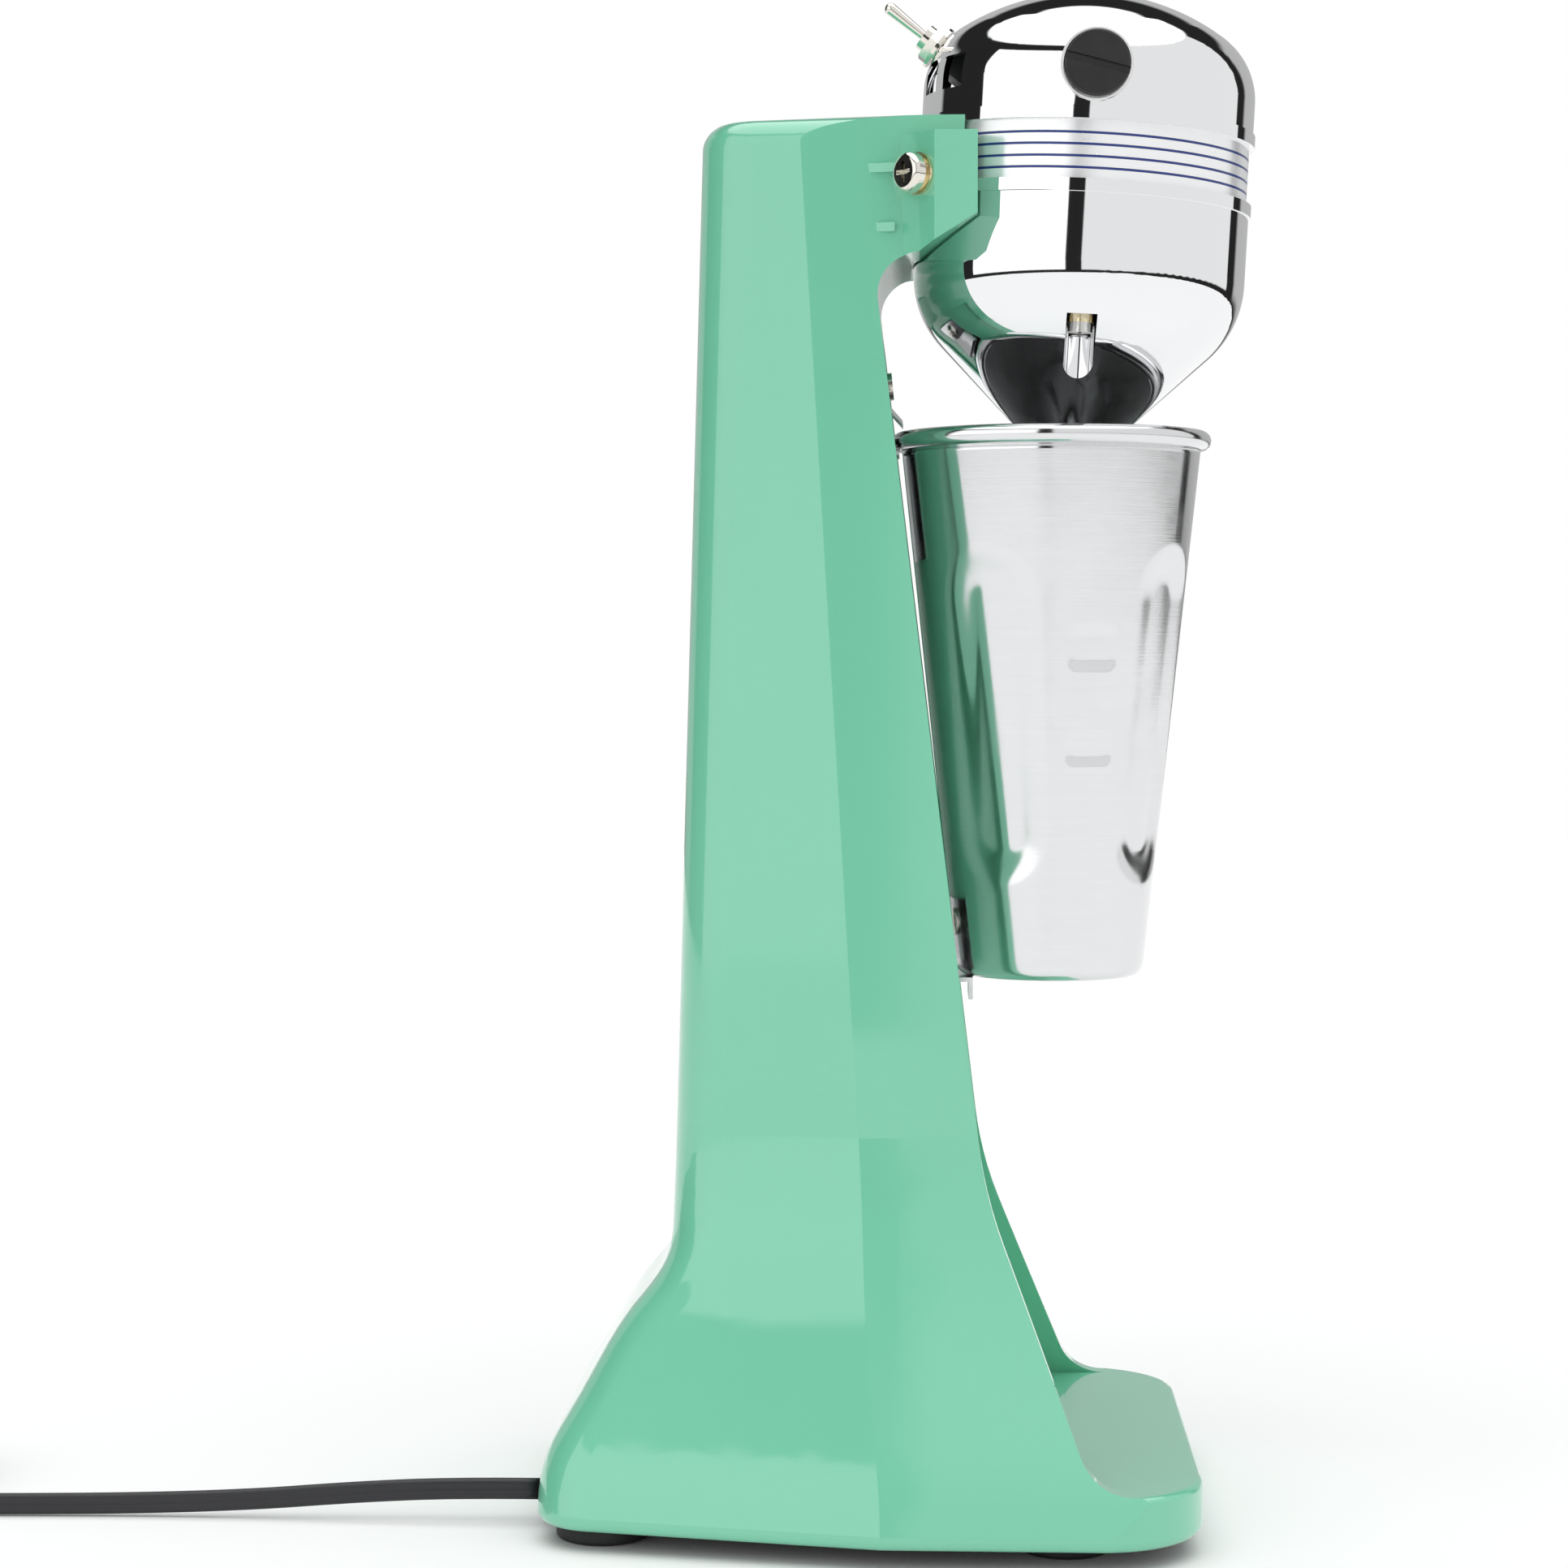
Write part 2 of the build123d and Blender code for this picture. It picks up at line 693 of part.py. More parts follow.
with BuildPart() as trim_band:
    with BuildSketch(head_profile):
        with Locations((head_radius - band_step - band_thick / 2, band_height / 2)):
            Rectangle(band_thick, band_height)
    revolve(axis=head_axis)
    for side in (1, -1):
        with BuildSketch(ear_screw_plane(side, head_radius - 5)):
            Circle(ear_screw_radius + 0.3)
        extrude(amount=8, mode=Mode.SUBTRACT)
finish_part(trim_band, "trim_band")

# ---------------------------------------------------------------- through bolts
with BuildPart() as housing_washers:
    for side in (1, -1):
        with BuildSketch(head_level.offset(pocket_ceiling)):
            with Locations((side * bolt_circle, 0)):
                Circle(pocket_radius - 0.4)
                Circle(bolt_radius, mode=Mode.SUBTRACT)
        extrude(amount=-washer_thick)
finish_part(housing_washers, "housing_washers")

head_seat = pocket_ceiling - washer_thick
with BuildPart() as housing_screws:
    for side in (1, -1):
        with BuildSketch(head_level.offset(head_seat)):
            with Locations((side * bolt_circle, 0)):
                Circle(bolt_radius)
        extrude(amount=stack_high + nut_height + 1.5 - head_seat)
        with BuildSketch(head_level.offset(head_seat)):
            with Locations((side * bolt_circle, 0)):
                Circle(pocket_radius - 0.7)
        extrude(amount=-2.6)
        with BuildSketch(head_level.offset(head_seat - 2.6)):
            with Locations((side * bolt_circle, 0)):
                Rectangle(0.9, 5)
                Rectangle(5, 0.9)
        extrude(amount=1.2, mode=Mode.SUBTRACT)
finish_part(housing_screws, "housing_screws")

with BuildPart() as housing_nuts:
    for side in (1, -1):
        with BuildSketch(head_level.offset(stack_high)):
            with Locations((side * bolt_circle, 0)):
                RegularPolygon(3.5, 6, major_radius=False)
                Circle(bolt_radius, mode=Mode.SUBTRACT)
        extrude(amount=nut_height)
finish_part(housing_nuts, "housing_nuts")

# ---------------------------------------------------------------- ear screws
face_reach = (Vector(ear_half, ear_bend, 0) - Vector(0, head_y, 0)).dot(
    Vector(math.cos(slant), math.sin(slant), 0)
) + (ear_screw_z - head_seam_z) * math.tan(tilt) * math.sin(slant)
with BuildPart() as ear_washers:
    for side in (1, -1):
        with BuildSketch(ear_screw_plane(side, face_reach)):
            Circle(5.6)
            Circle(ear_screw_radius, mode=Mode.SUBTRACT)
        extrude(amount=1.0)
        with BuildSketch(ear_screw_plane(side, face_reach + 1.0)):
            Circle(4.5)
            Circle(ear_screw_radius, mode=Mode.SUBTRACT)
        extrude(amount=1.3)
finish_part(ear_washers, "ear_washers")

with BuildPart() as ear_screws:
    for side in (1, -1):
        with BuildSketch(ear_screw_plane(side, head_radius - 4.5)):
            Circle(ear_screw_radius)
        extrude(amount=face_reach + 2.3 - head_radius + 4.5)
        with BuildSketch(ear_screw_plane(side, face_reach + 2.3)):
            Circle(5.3)
        extrude(amount=3.4)
    fillet(ear_screws.edges().filter_by(GeomType.CIRCLE).sort_by(Axis.Y)[-2:], 1.6)
    for side in (1, -1):
        with BuildSketch(ear_screw_plane(side, face_reach + 5.7)):
            Rectangle(1.2, 5.5)
            Rectangle(5.5, 1.2)
        extrude(amount=-1.9, mode=Mode.SUBTRACT)
finish_part(ear_screws, "ear_screws")

# ---------------------------------------------------------------- motor
window_turn = 48
coil_inner = armature_radius + air_gap + 1.0
window_outer = 27.0
coil_outer = window_outer - 0.6

def sector(inner, outer, start, size, mode=Mode.ADD):
    """A ring sector in the current sketch, angles in degrees from +X."""
    a = math.radians(start)
    b = math.radians(start + size)
    with BuildLine() as outline:
        Line((inner * math.cos(a), inner * math.sin(a)), (outer * math.cos(a), outer * math.sin(a)))
        CenterArc((0, 0), outer, start, size)
        Line((outer * math.cos(b), outer * math.sin(b)), (inner * math.cos(b), inner * math.sin(b)))
        CenterArc((0, 0), inner, start + size, -size)
    make_face(outline.edges(), mode=mode)


with BuildPart() as field_core:
    with BuildSketch(head_level.offset(stack_low)):
        Circle(field_radius)
        Circle(armature_radius + air_gap, mode=Mode.SUBTRACT)
        for middle in (0, 180):
            sector(armature_radius, window_outer, middle - window_turn, 2 * window_turn, Mode.SUBTRACT)
        with Locations((bolt_circle, 0), (-bolt_circle, 0)):
            Circle(bolt_radius + 0.2, mode=Mode.SUBTRACT)
    extrude(amount=stack_high - stack_low)
finish_part(field_core, "field_core")


with BuildPart() as field_coils:
    for pole in (90, 270):
        for start in (pole - 70, pole + 43):
            with BuildSketch(head_level.offset(stack_low - coil_end)):
                sector(coil_inner, coil_outer, start, 27)
            extrude(amount=stack_high - stack_low + 2 * coil_end)
        for low in (stack_low - coil_end, stack_high + 0.5):
            with BuildSketch(head_level.offset(low)):
                sector(coil_inner, coil_outer, pole - 70, 140)
            extrude(amount=coil_end - 0.5)
finish_part(field_coils, "field_coils")

with BuildPart() as armature_core:
    with BuildSketch(head_level.offset(stack_low)):
        Circle(armature_radius)
        Circle(shaft_radius, mode=Mode.SUBTRACT)
        with PolarLocations(slot_circle, slots):
            Circle(slot_radius, mode=Mode.SUBTRACT)
        with PolarLocations(armature_radius, slots):
            Rectangle(5, 1.2, mode=Mode.SUBTRACT)
    extrude(amount=stack_high - stack_low)
finish_part(armature_core, "armature_core")

with BuildPart() as armature_windings:
    with BuildSketch(head_level.offset(stack_low)):
        with PolarLocations(slot_circle, slots):
            Circle(slot_radius - 0.1)
    extrude(amount=stack_high - stack_low)
    for low in (stack_low - 6, stack_high):
        with BuildSketch(head_level.offset(low)):
            Circle(slot_circle + slot_radius)
            Circle(shaft_radius + 2, mode=Mode.SUBTRACT)
        extrude(amount=6)
finish_part(armature_windings, "armature_windings")

with BuildPart() as commutator:
    with BuildSketch(head_level.offset(brush_level - 8)):
        Circle(commutator_radius)
        Circle(shaft_radius, mode=Mode.SUBTRACT)
        with PolarLocations(commutator_radius, slots):
            Rectangle(2.4, 0.6, mode=Mode.SUBTRACT)
    extrude(amount=15)
finish_part(commutator, "commutator")

shaft_low = neck_s - 5.5
bridge_low = brush_level + 8.5
with BuildPart() as motor_shaft:
    with BuildSketch(head_level.offset(shaft_low)):
        Circle(shaft_radius)
    extrude(amount=bridge_low + 9.5 - shaft_low)
finish_part(motor_shaft, "motor_shaft")

with BuildPart() as cooling_fan:
    with BuildSketch(head_level.offset(fan_low)):
        Circle(fan_radius)
        Circle(shaft_radius, mode=Mode.SUBTRACT)
    extrude(amount=1.2)
    with BuildSketch(head_level.offset(fan_low)):
        Circle(6)
        Circle(shaft_radius, mode=Mode.SUBTRACT)
    extrude(amount=7)
    with BuildSketch(head_level.offset(fan_low + 1)):
        with PolarLocations((fan_radius + 7) / 2, 10):
            Rectangle(fan_radius - 9, 1.2)
    extrude(amount=5)
finish_part(cooling_fan, "cooling_fan")

with BuildPart() as lower_bearing:
    with BuildSketch(head_level.offset(bearing_low)):
        Circle(bearing_radius)
        Circle(shaft_radius + running_fit, mode=Mode.SUBTRACT)
    extrude(amount=8)
finish_part(lower_bearing, "lower_bearing")

with BuildPart() as upper_bearing:
    with BuildSketch(head_level.offset(bridge_low + 1)):
        Circle(6)
        Circle(shaft_radius + running_fit, mode=Mode.SUBTRACT)
    extrude(amount=8)
finish_part(upper_bearing, "upper_bearing")

with BuildPart() as bearing_bridge:
    with BuildSketch(head_level.offset(bridge_low)):
        Circle(9)
        with Locations(Rotation(0, 0, 45)):
            Rectangle(2 * field_radius - 2, 8)
    extrude(amount=3)
    with BuildSketch(head_level.offset(bridge_low)):
        Circle(9)
    extrude(amount=9)
    with BuildSketch(head_level.offset(stack_high)):
        with PolarLocations(field_radius - 3, 2, start_angle=45):
            Rectangle(4, 8)
    extrude(amount=bridge_low - stack_high)
    with BuildSketch(head_level.offset(bridge_low + 1)):
        Circle(6)
    extrude(amount=10, mode=Mode.SUBTRACT)
    with BuildSketch(head_level.offset(bridge_low - 1)):
        Circle(shaft_radius + 1)
    extrude(amount=4, mode=Mode.SUBTRACT)
finish_part(bearing_bridge, "bearing_bridge")

# ---------------------------------------------------------------- brushes
holder_start = 14.0
flange_face = head_radius + flange_stand
with BuildPart() as brush_holders:
    for angle in (0, 180):
        with BuildSketch(head_radial(angle, holder_start, brush_level)):
            Circle(holder_radius)
        extrude(amount=flange_face - holder_start)
        with BuildSketch(head_radial(angle, flange_face - 2, brush_level)):
            Circle(holder_flange)
        extrude(amount=2)
        with BuildSketch(head_radial(angle, holder_start, brush_level)):
            Rectangle(brush_tall + 0.2, brush_wide + 0.2)
        extrude(amount=flange_face - holder_start, mode=Mode.SUBTRACT)
        with BuildSketch(head_radial(angle, flange_face - 5, brush_level)):
            Circle(cap_stem)
        extrude(amount=6, mode=Mode.SUBTRACT)
finish_part(brush_holders, "brush_holders")

with BuildPart() as carbon_brushes:
    for angle in (0, 180):
        with BuildSketch(head_radial(angle, commutator_radius + 0.08, brush_level)):
            Rectangle(brush_tall, brush_wide)
        extrude(amount=brush_long)
finish_part(carbon_brushes, "carbon_brushes")

spring_start = commutator_radius + 0.08 + brush_long
spring_long = flange_face - 5 - spring_start
with BuildPart() as brush_springs:
    for angle in (0, 180):
        with BuildSketch(head_radial(angle, spring_start, brush_level)):
            Circle(2.3)
            Circle(1.7, mode=Mode.SUBTRACT)
        extrude(amount=spring_long)
finish_part(brush_springs, "brush_springs")

with BuildPart() as brush_caps:
    for angle in (0, 180):
        with BuildSketch(head_radial(angle, flange_face - 5, brush_level)):
            Circle(cap_stem)
        extrude(amount=5)
        with BuildSketch(head_radial(angle, flange_face, brush_level)):
            Circle(cap_radius)
        extrude(amount=cap_thick)
    outer_rims = brush_caps.edges().filter_by(GeomType.CIRCLE).sort_by(lambda e: -abs(e.center().X))[0:2]
    fillet(outer_rims, 0.9)
    for angle in (0, 180):
        with BuildSketch(head_radial(angle, flange_face + cap_thick, brush_level)):
            with Locations(Rotation(0, 0, 90 - cap_slot_turn)):
                Rectangle(2 * cap_radius + 2, cap_slot)
        extrude(amount=-1.3, mode=Mode.SUBTRACT)
finish_part(brush_caps, "brush_caps")

# ---------------------------------------------------------------- toggle switch
with BuildPart() as toggle_bushing:
    with BuildSketch(toggle_seat.offset(-shell - body_drop)):
        Circle(bushing_radius)
        Circle(bushing_radius - 1.2, mode=Mode.SUBTRACT)
    extrude(amount=shell + body_drop + bushing_out)
finish_part(toggle_bushing, "toggle_bushing")

with BuildPart() as toggle_switch_body:
    with BuildSketch(toggle_seat.offset(-shell - body_drop)):
        Rectangle(13, 9)
    extrude(amount=-body_deep)
    with BuildSketch(toggle_seat.offset(-shell - body_drop - body_deep)):
        with Locations((-4.5, 0), (0, 0), (4.5, 0)):
            Rectangle(0.8, 3)
    extrude(amount=-4)
finish_part(toggle_switch_body, "toggle_switch_body")

with BuildPart() as toggle_washer:
    with BuildSketch(toggle_seat.offset(washer_stand)):
        Circle(bushing_radius + 2.6)
        Circle(bushing_radius, mode=Mode.SUBTRACT)
    extrude(amount=1.0)
finish_part(toggle_washer, "toggle_washer")

with BuildPart() as toggle_nut:
    with BuildSketch(toggle_seat.offset(washer_stand + 1.0)):
        RegularPolygon(toggle_nut_flat / 2, 6, major_radius=False)
        Circle(bushing_radius, mode=Mode.SUBTRACT)
    extrude(amount=2.4)
finish_part(toggle_nut, "toggle_nut")

with BuildPart() as toggle_lever:
    with BuildSketch(toggle_profile):
        with BuildLine():
            Polyline(
                (0, -1.5),
                (1.0, -1.5),
                (1.1, 4.0),
                (lever_tip, lever_out - lever_tip),
            )
            CenterArc((0, lever_out - lever_tip), lever_tip, 0, 90)
            Line((0, lever_out), (0, -1.5))
        make_face()
    revolve(axis=toggle_axis)
finish_part(toggle_lever, "toggle_lever")

# ---------------------------------------------------------------- mixing rod
collar_top = neck_s - 0.8
collar_low = collar_top - 11
with BuildPart() as rod_collar:
    with BuildSketch(head_level.offset(collar_low)):
        Circle(5)
    extrude(amount=collar_top - collar_low)
    chamfer(rod_collar.edges().filter_by(GeomType.CIRCLE), 0.6)
    with BuildSketch(head_level.offset(shaft_low)):
        Circle(shaft_radius)
    extrude(amount=collar_top - shaft_low, mode=Mode.SUBTRACT)
    with BuildSketch(head_level.offset(collar_low)):
        Circle(rod_radius)
    extrude(amount=shaft_low - collar_low, mode=Mode.SUBTRACT)
finish_part(rod_collar, "rod_collar")

with BuildPart() as mixing_rod:
    with BuildSketch(head_level.offset(shaft_low)):
        Circle(rod_radius)
    extrude(amount=-(rod_reach + shaft_low) - 1)
finish_part(mixing_rod, "mixing_rod")

with BuildPart() as agitator_disc:
    with BuildSketch(head_level.offset(-rod_reach)):
        Circle(agitator_radius)
        with PolarLocations(agitator_radius + 1.5, 6):
            Circle(3.5, mode=Mode.SUBTRACT)
    extrude(amount=1.5)
    with BuildSketch(head_level.offset(-rod_reach)):
        Circle(4)
    extrude(amount=6)
    with BuildSketch(head_level.offset(-rod_reach - 1)):
        Circle(rod_radius)
    extrude(amount=12, mode=Mode.SUBTRACT)
finish_part(agitator_disc, "agitator_disc")

# ---------------------------------------------------------------- mixing_cup
bead_z = cup_top_z - bead_radius
cup_axis = Axis((0, cup_y, 0), (0, 0, 1))
cup_profile = Plane(origin=(0, cup_y, 0), x_dir=(1, 0, 0), z_dir=(0, -1, 0))
with BuildPart() as cup_inside:
    with BuildSketch(cup_profile):
        with BuildLine():
            Polyline(
                (0, cup_low_z + cup_wall),
                (cup_base_radius - cup_wall, cup_low_z + cup_wall),
                (cup_top_radius - cup_wall, bead_z),
                (cup_top_radius - cup_wall, cup_top_z + 5),
                (0, cup_top_z + 5),
                close=True,
            )
        make_face()
    revolve(axis=cup_axis)
    fillet(cup_inside.edges().group_by(Axis.Z)[0], cup_foot_round - cup_wall)

with BuildPart() as mixing_cup:
    with BuildSketch(cup_profile):
        with BuildLine():
            Polyline(
                (0, cup_low_z),
                (cup_base_radius, cup_low_z),
                (cup_top_radius, bead_z),
                (0, bead_z),
                close=True,
            )
        make_face()
    revolve(axis=cup_axis)
    fillet(mixing_cup.edges().group_by(Axis.Z)[0], cup_foot_round)
    with BuildSketch(cup_profile):
        with Locations((cup_top_radius, bead_z)):
            Circle(bead_radius)
    revolve(axis=cup_axis)
    add(cup_inside.part, mode=Mode.SUBTRACT)
finish_part(mixing_cup, "mixing_cup")

# ---------------------------------------------------------------- cup bracket and rest
catch_z = cup_top_z + 1.6
lip_top = bead_z - bead_radius - 0.2


with BuildPart() as cup_bracket:
    with BuildSketch(side_view):
        with BuildLine():
            Polyline(
                (front_wall(bracket_top), bracket_top),
                (front_wall(bracket_low), bracket_low),
                (front_wall(bracket_low) - strip_thick, bracket_low),
                (front_wall(lip_top - strip_thick) - strip_thick, lip_top - strip_thick),
                (cup_y + cup_top_radius + 0.5, lip_top - strip_thick),
                (cup_y + cup_top_radius + 0.5, lip_top),
                (front_wall(lip_top) - strip_thick, lip_top),
                (front_wall(catch_z + 5) - strip_thick, catch_z + 5),
                (cup_y + cup_top_radius - 0.5, catch_z),
                (cup_y + cup_top_radius - 0.5, catch_z + strip_thick),
                (front_wall(catch_z + 6.4) - strip_thick, catch_z + 6.4),
                (front_wall(bracket_top) - strip_thick, bracket_top),
                close=True,
            )
        make_face()
    extrude(amount=bracket_half, both=True)
    with BuildSketch(wall_plane(bracket_screw_z, 5)):
        Circle(screw_radius)
    extrude(amount=-12, mode=Mode.SUBTRACT)
finish_part(cup_bracket, "cup_bracket")

rest_z = cup_low_z - rest_gap
with BuildPart() as cup_rest:
    with BuildSketch(side_view):
        with BuildLine():
            Polyline(
                (front_wall(rest_top), rest_top),
                (front_wall(rest_z - strip_thick), rest_z - strip_thick),
                (rest_front + strip_thick, rest_z - strip_thick),
                (rest_front + strip_thick, rest_z - rest_lip),
                (rest_front, rest_z - rest_lip),
                (rest_front, rest_z),
                (front_wall(rest_z) - strip_thick, rest_z),
                (front_wall(rest_top) - strip_thick, rest_top),
                close=True,
            )
        make_face()
    extrude(amount=rest_half, both=True)
    with BuildSketch(wall_plane(rest_screw_z, 5)):
        Circle(screw_radius)
    extrude(amount=-12, mode=Mode.SUBTRACT)
finish_part(cup_rest, "cup_rest")


def wall_screw(z):
    """A pan-head screw through a strip into the front wall, in the current part."""
    with BuildSketch(wall_plane(z, strip_thick)) as shank:
        Circle(screw_radius)
    extrude(shank.sketch, amount=-8)
    with BuildSketch(wall_plane(z, strip_thick)) as pan:
        Circle(pan_radius)
    extrude(pan.sketch, amount=pan_high)
    with BuildSketch(wall_plane(z, strip_thick + pan_high)) as cross:
        Rectangle(0.9, 4)
        Rectangle(4, 0.9)
    extrude(cross.sketch, amount=-1.0, mode=Mode.SUBTRACT)


with BuildPart() as cup_bracket_screw:
    wall_screw(bracket_screw_z)
finish_part(cup_bracket_screw, "cup_bracket_screw")

with BuildPart() as cup_rest_screw:
    wall_screw(rest_screw_z)
finish_part(cup_rest_screw, "cup_rest_screw")

# ---------------------------------------------------------------- lead, gland and plug
with BuildPart() as cord_strain_relief:
    with BuildSketch(Plane.XZ.offset(-base_back + wall + gland_depth)):
        with Locations((exit_x, exit_z)):
            Circle(relief_radius)
    extrude(amount=-wall - gland_depth - relief_stand)
finish_part(cord_strain_relief, "cord_strain_relief")

with BuildPart() as lead_grommet:
    with BuildSketch(lead_entry.offset(-shell - 1)):
        Circle(grommet_radius)
        Circle(inner_lead_radius, mode=Mode.SUBTRACT)
    extrude(amount=shell + 4)
finish_part(lead_grommet, "lead_grommet")

with BuildPart() as inner_lead:
    with BuildLine() as lead_path:
        FilletPolyline(
            (exit_x, base_back - wall - gland_depth, exit_z),
            (exit_x, 64, exit_z),
            (0, 44, 60),
            (0, 36, 318),
            (0, 24, lead_entry_z),
            (0, head_back_y - 6, lead_entry_z),
            radius=10,
        )
    with BuildSketch(Plane(origin=lead_path.line @ 0, z_dir=lead_path.line % 0)):
        Circle(inner_lead_radius)
    sweep()
finish_part(inner_lead, "inner_lead")

# ---------------------------------------------------------------- free lead on the counter
lead_points = [
    (exit_x, base_back + relief_stand, exit_z),
    (exit_x, 119.0, exit_z),
    (-33.7, 146.0, 7.3),
    (-33.0, 175.0, 4.7),
    (-32.3, 208.0, 3.2),
    (-32.4, 243.0, 2.95),
    (coil_spot[0] - coil_radius, coil_spot[1] - 18.0, 2.92),
]


def bend_radii(points):
    """The largest radius that each inner point's two runs allow."""
    radii = []
    for before, here, after in zip(points, points[1:], points[2:]):
        run_in = Vector(*here) - Vector(*before)
        run_out = Vector(*after) - Vector(*here)
        half_turn = math.radians(run_in.get_angle(run_out)) / 2
        radii.append(0.45 * min(run_in.length, run_out.length) / math.tan(half_turn))
    return radii


lead_radii = bend_radii(lead_points)
print("lead radii", [round(r) for r in lead_radii])

with BuildPart() as power_cord:
    with BuildLine() as free_path:
        FilletPolyline(*lead_points, radius=lead_radii)
    with BuildSketch(Plane(origin=free_path.line @ 0, z_dir=free_path.line % 0)):
        Circle(lead_radius)
    sweep()
finish_part(power_cord, "power_cord")
lead_run = free_path.wires()[0].length
lead_share = power_cord.part.volume / (math.pi * lead_radius**2 * lead_run)
print("lead run", round(lead_run, 1), "volume against section x length", round(lead_share, 4))

with BuildPart() as cord_coil:
    with BuildSketch(Plane.XY):
        with Locations(coil_spot):
            Circle(coil_radius + coil_wide / 2)
            Circle(coil_radius - coil_wide / 2, mode=Mode.SUBTRACT)
    extrude(amount=coil_tall)
    fillet(cord_coil.edges(), 1.4)
finish_part(cord_coil, "cord_coil")

plug_x = coil_spot[0] - coil_radius
plug_y = coil_spot[1] + math.sqrt((coil_radius + coil_wide / 2) ** 2 - coil_radius**2) + 5.0
with BuildPart() as power_plug:
    with BuildSketch(Plane.XZ.offset(-plug_y)):
        with Locations((plug_x, plug_tall / 2)):
            RectangleRounded(plug_wide, plug_tall, 4)
    extrude(amount=-plug_long)
    with BuildSketch(Plane.XZ.offset(-plug_y)):
        with Locations((plug_x, plug_tall / 2)):
            Circle(lead_radius)
    extrude(amount=plug_stub)
finish_part(power_plug, "power_plug")

with BuildPart() as plug_blades:
    with BuildSketch(Plane.XZ.offset(-plug_y - plug_long)):
        with Locations((plug_x - blade_spread / 2, plug_tall / 2), (plug_x + blade_spread / 2, plug_tall / 2)):
            Rectangle(1.5, 6.35)
    extrude(amount=-blade_long)
finish_part(plug_blades, "plug_blades")
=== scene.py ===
import json
import math

import bmesh
import bpy
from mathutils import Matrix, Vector


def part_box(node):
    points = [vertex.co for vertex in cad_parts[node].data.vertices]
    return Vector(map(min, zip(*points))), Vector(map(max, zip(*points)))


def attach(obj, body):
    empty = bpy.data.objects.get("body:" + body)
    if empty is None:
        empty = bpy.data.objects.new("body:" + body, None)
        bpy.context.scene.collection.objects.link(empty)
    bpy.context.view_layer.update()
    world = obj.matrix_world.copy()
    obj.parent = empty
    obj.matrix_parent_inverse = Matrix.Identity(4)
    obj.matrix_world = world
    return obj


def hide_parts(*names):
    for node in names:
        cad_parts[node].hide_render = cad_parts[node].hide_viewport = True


bl_info = {
    "name": "Milkshake Mixer",
    "version": (1, 0, 0),
    "blender": (4, 5, 0),
    "location": "3D View > Sidebar > Mixer",
    "description": "Finishes and extra pieces for a counter-top milkshake mixer",
    "category": "Object",
}

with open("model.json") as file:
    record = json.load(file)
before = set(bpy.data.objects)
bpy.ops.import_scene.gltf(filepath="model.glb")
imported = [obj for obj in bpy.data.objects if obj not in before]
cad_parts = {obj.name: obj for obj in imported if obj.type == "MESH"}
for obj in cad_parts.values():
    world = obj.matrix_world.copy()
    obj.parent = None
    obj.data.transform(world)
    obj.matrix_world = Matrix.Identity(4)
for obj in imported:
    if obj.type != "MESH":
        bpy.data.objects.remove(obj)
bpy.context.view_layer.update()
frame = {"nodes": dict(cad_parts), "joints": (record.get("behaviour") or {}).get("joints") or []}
joints = {joint["name"]: joint for joint in frame["joints"]}
head_seam = Vector(joints["motor_spin"]["pos_m"])
head_axis = Vector(joints["motor_spin"]["axis"]).normalized()
cup_low, cup_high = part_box("mixing_cup")
coil_low, coil_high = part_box("cord_coil")
plug_low, plug_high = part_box("power_plug")


# ---------------------------------------------------------------- settings
class MixerFinish(bpy.types.PropertyGroup):
    enamel: bpy.props.FloatVectorProperty(
        name="Enamel", description="Colour of the stand", subtype="COLOR",
        size=3, min=0.0, max=1.0, default=(0.170, 0.590, 0.385))
    stripe: bpy.props.FloatVectorProperty(
        name="Stripe", description="Colour of the lines on the trim band", subtype="COLOR",
        size=3, min=0.0, max=1.0, default=(0.020, 0.040, 0.190))
    cup_metal: bpy.props.FloatVectorProperty(
        name="Cup metal", description="Colour of the cup's spun metal", subtype="COLOR",
        size=3, min=0.0, max=1.0, default=(0.800, 0.805, 0.815))
    wear: bpy.props.FloatProperty(
        name="Wear", description="How marked the finishes are", min=0.0, max=1.0,
        default=0.35, subtype="FACTOR")


class MixerSizes(bpy.types.PropertyGroup):
    cord_width: bpy.props.FloatProperty(
        name="Lead width", description="Wide side of the flat twin lead",
        default=0.0058, unit="LENGTH")
    flute_depth: bpy.props.FloatProperty(
        name="Flute depth", description="How far the cup's four flutes are pressed in",
        default=0.0024, unit="LENGTH")
    dent_depth: bpy.props.FloatProperty(
        name="Mark depth", description="How far the two level marks are pressed in",
        default=0.0007, unit="LENGTH")
    room: bpy.props.FloatProperty(
        name="Floor radius", description="Radius of the floor disc",
        default=3.2, unit="LENGTH")


# ---------------------------------------------------------------- shader helpers
def add_node(tree, kind, **values):
    node = tree.nodes.new(kind)
    for key, value in values.items():
        setattr(node, key, value)
    return node


def maths(tree, operation, first, second=None, third=None, clamp=False):
    node = add_node(tree, "ShaderNodeMath", operation=operation, use_clamp=clamp)
    for socket, value in zip(node.inputs, (first, second, third)):
        if value is None:
            continue
        if isinstance(value, (int, float)):
            socket.default_value = value
        else:
            tree.links.new(value, socket)
    return node.outputs[0]


def group_shell(name, inputs, outputs):
    """An empty node group with float inputs and the outputs named."""
    group = bpy.data.node_groups.new(name, "ShaderNodeTree")
    for label, default in inputs:
        socket = group.interface.new_socket(label, in_out="INPUT", socket_type="NodeSocketFloat")
        socket.default_value = default
    for label, kind in outputs:
        group.interface.new_socket(label, in_out="OUTPUT", socket_type=kind)
    return group, group.nodes.new("NodeGroupInput"), group.nodes.new("NodeGroupOutput")


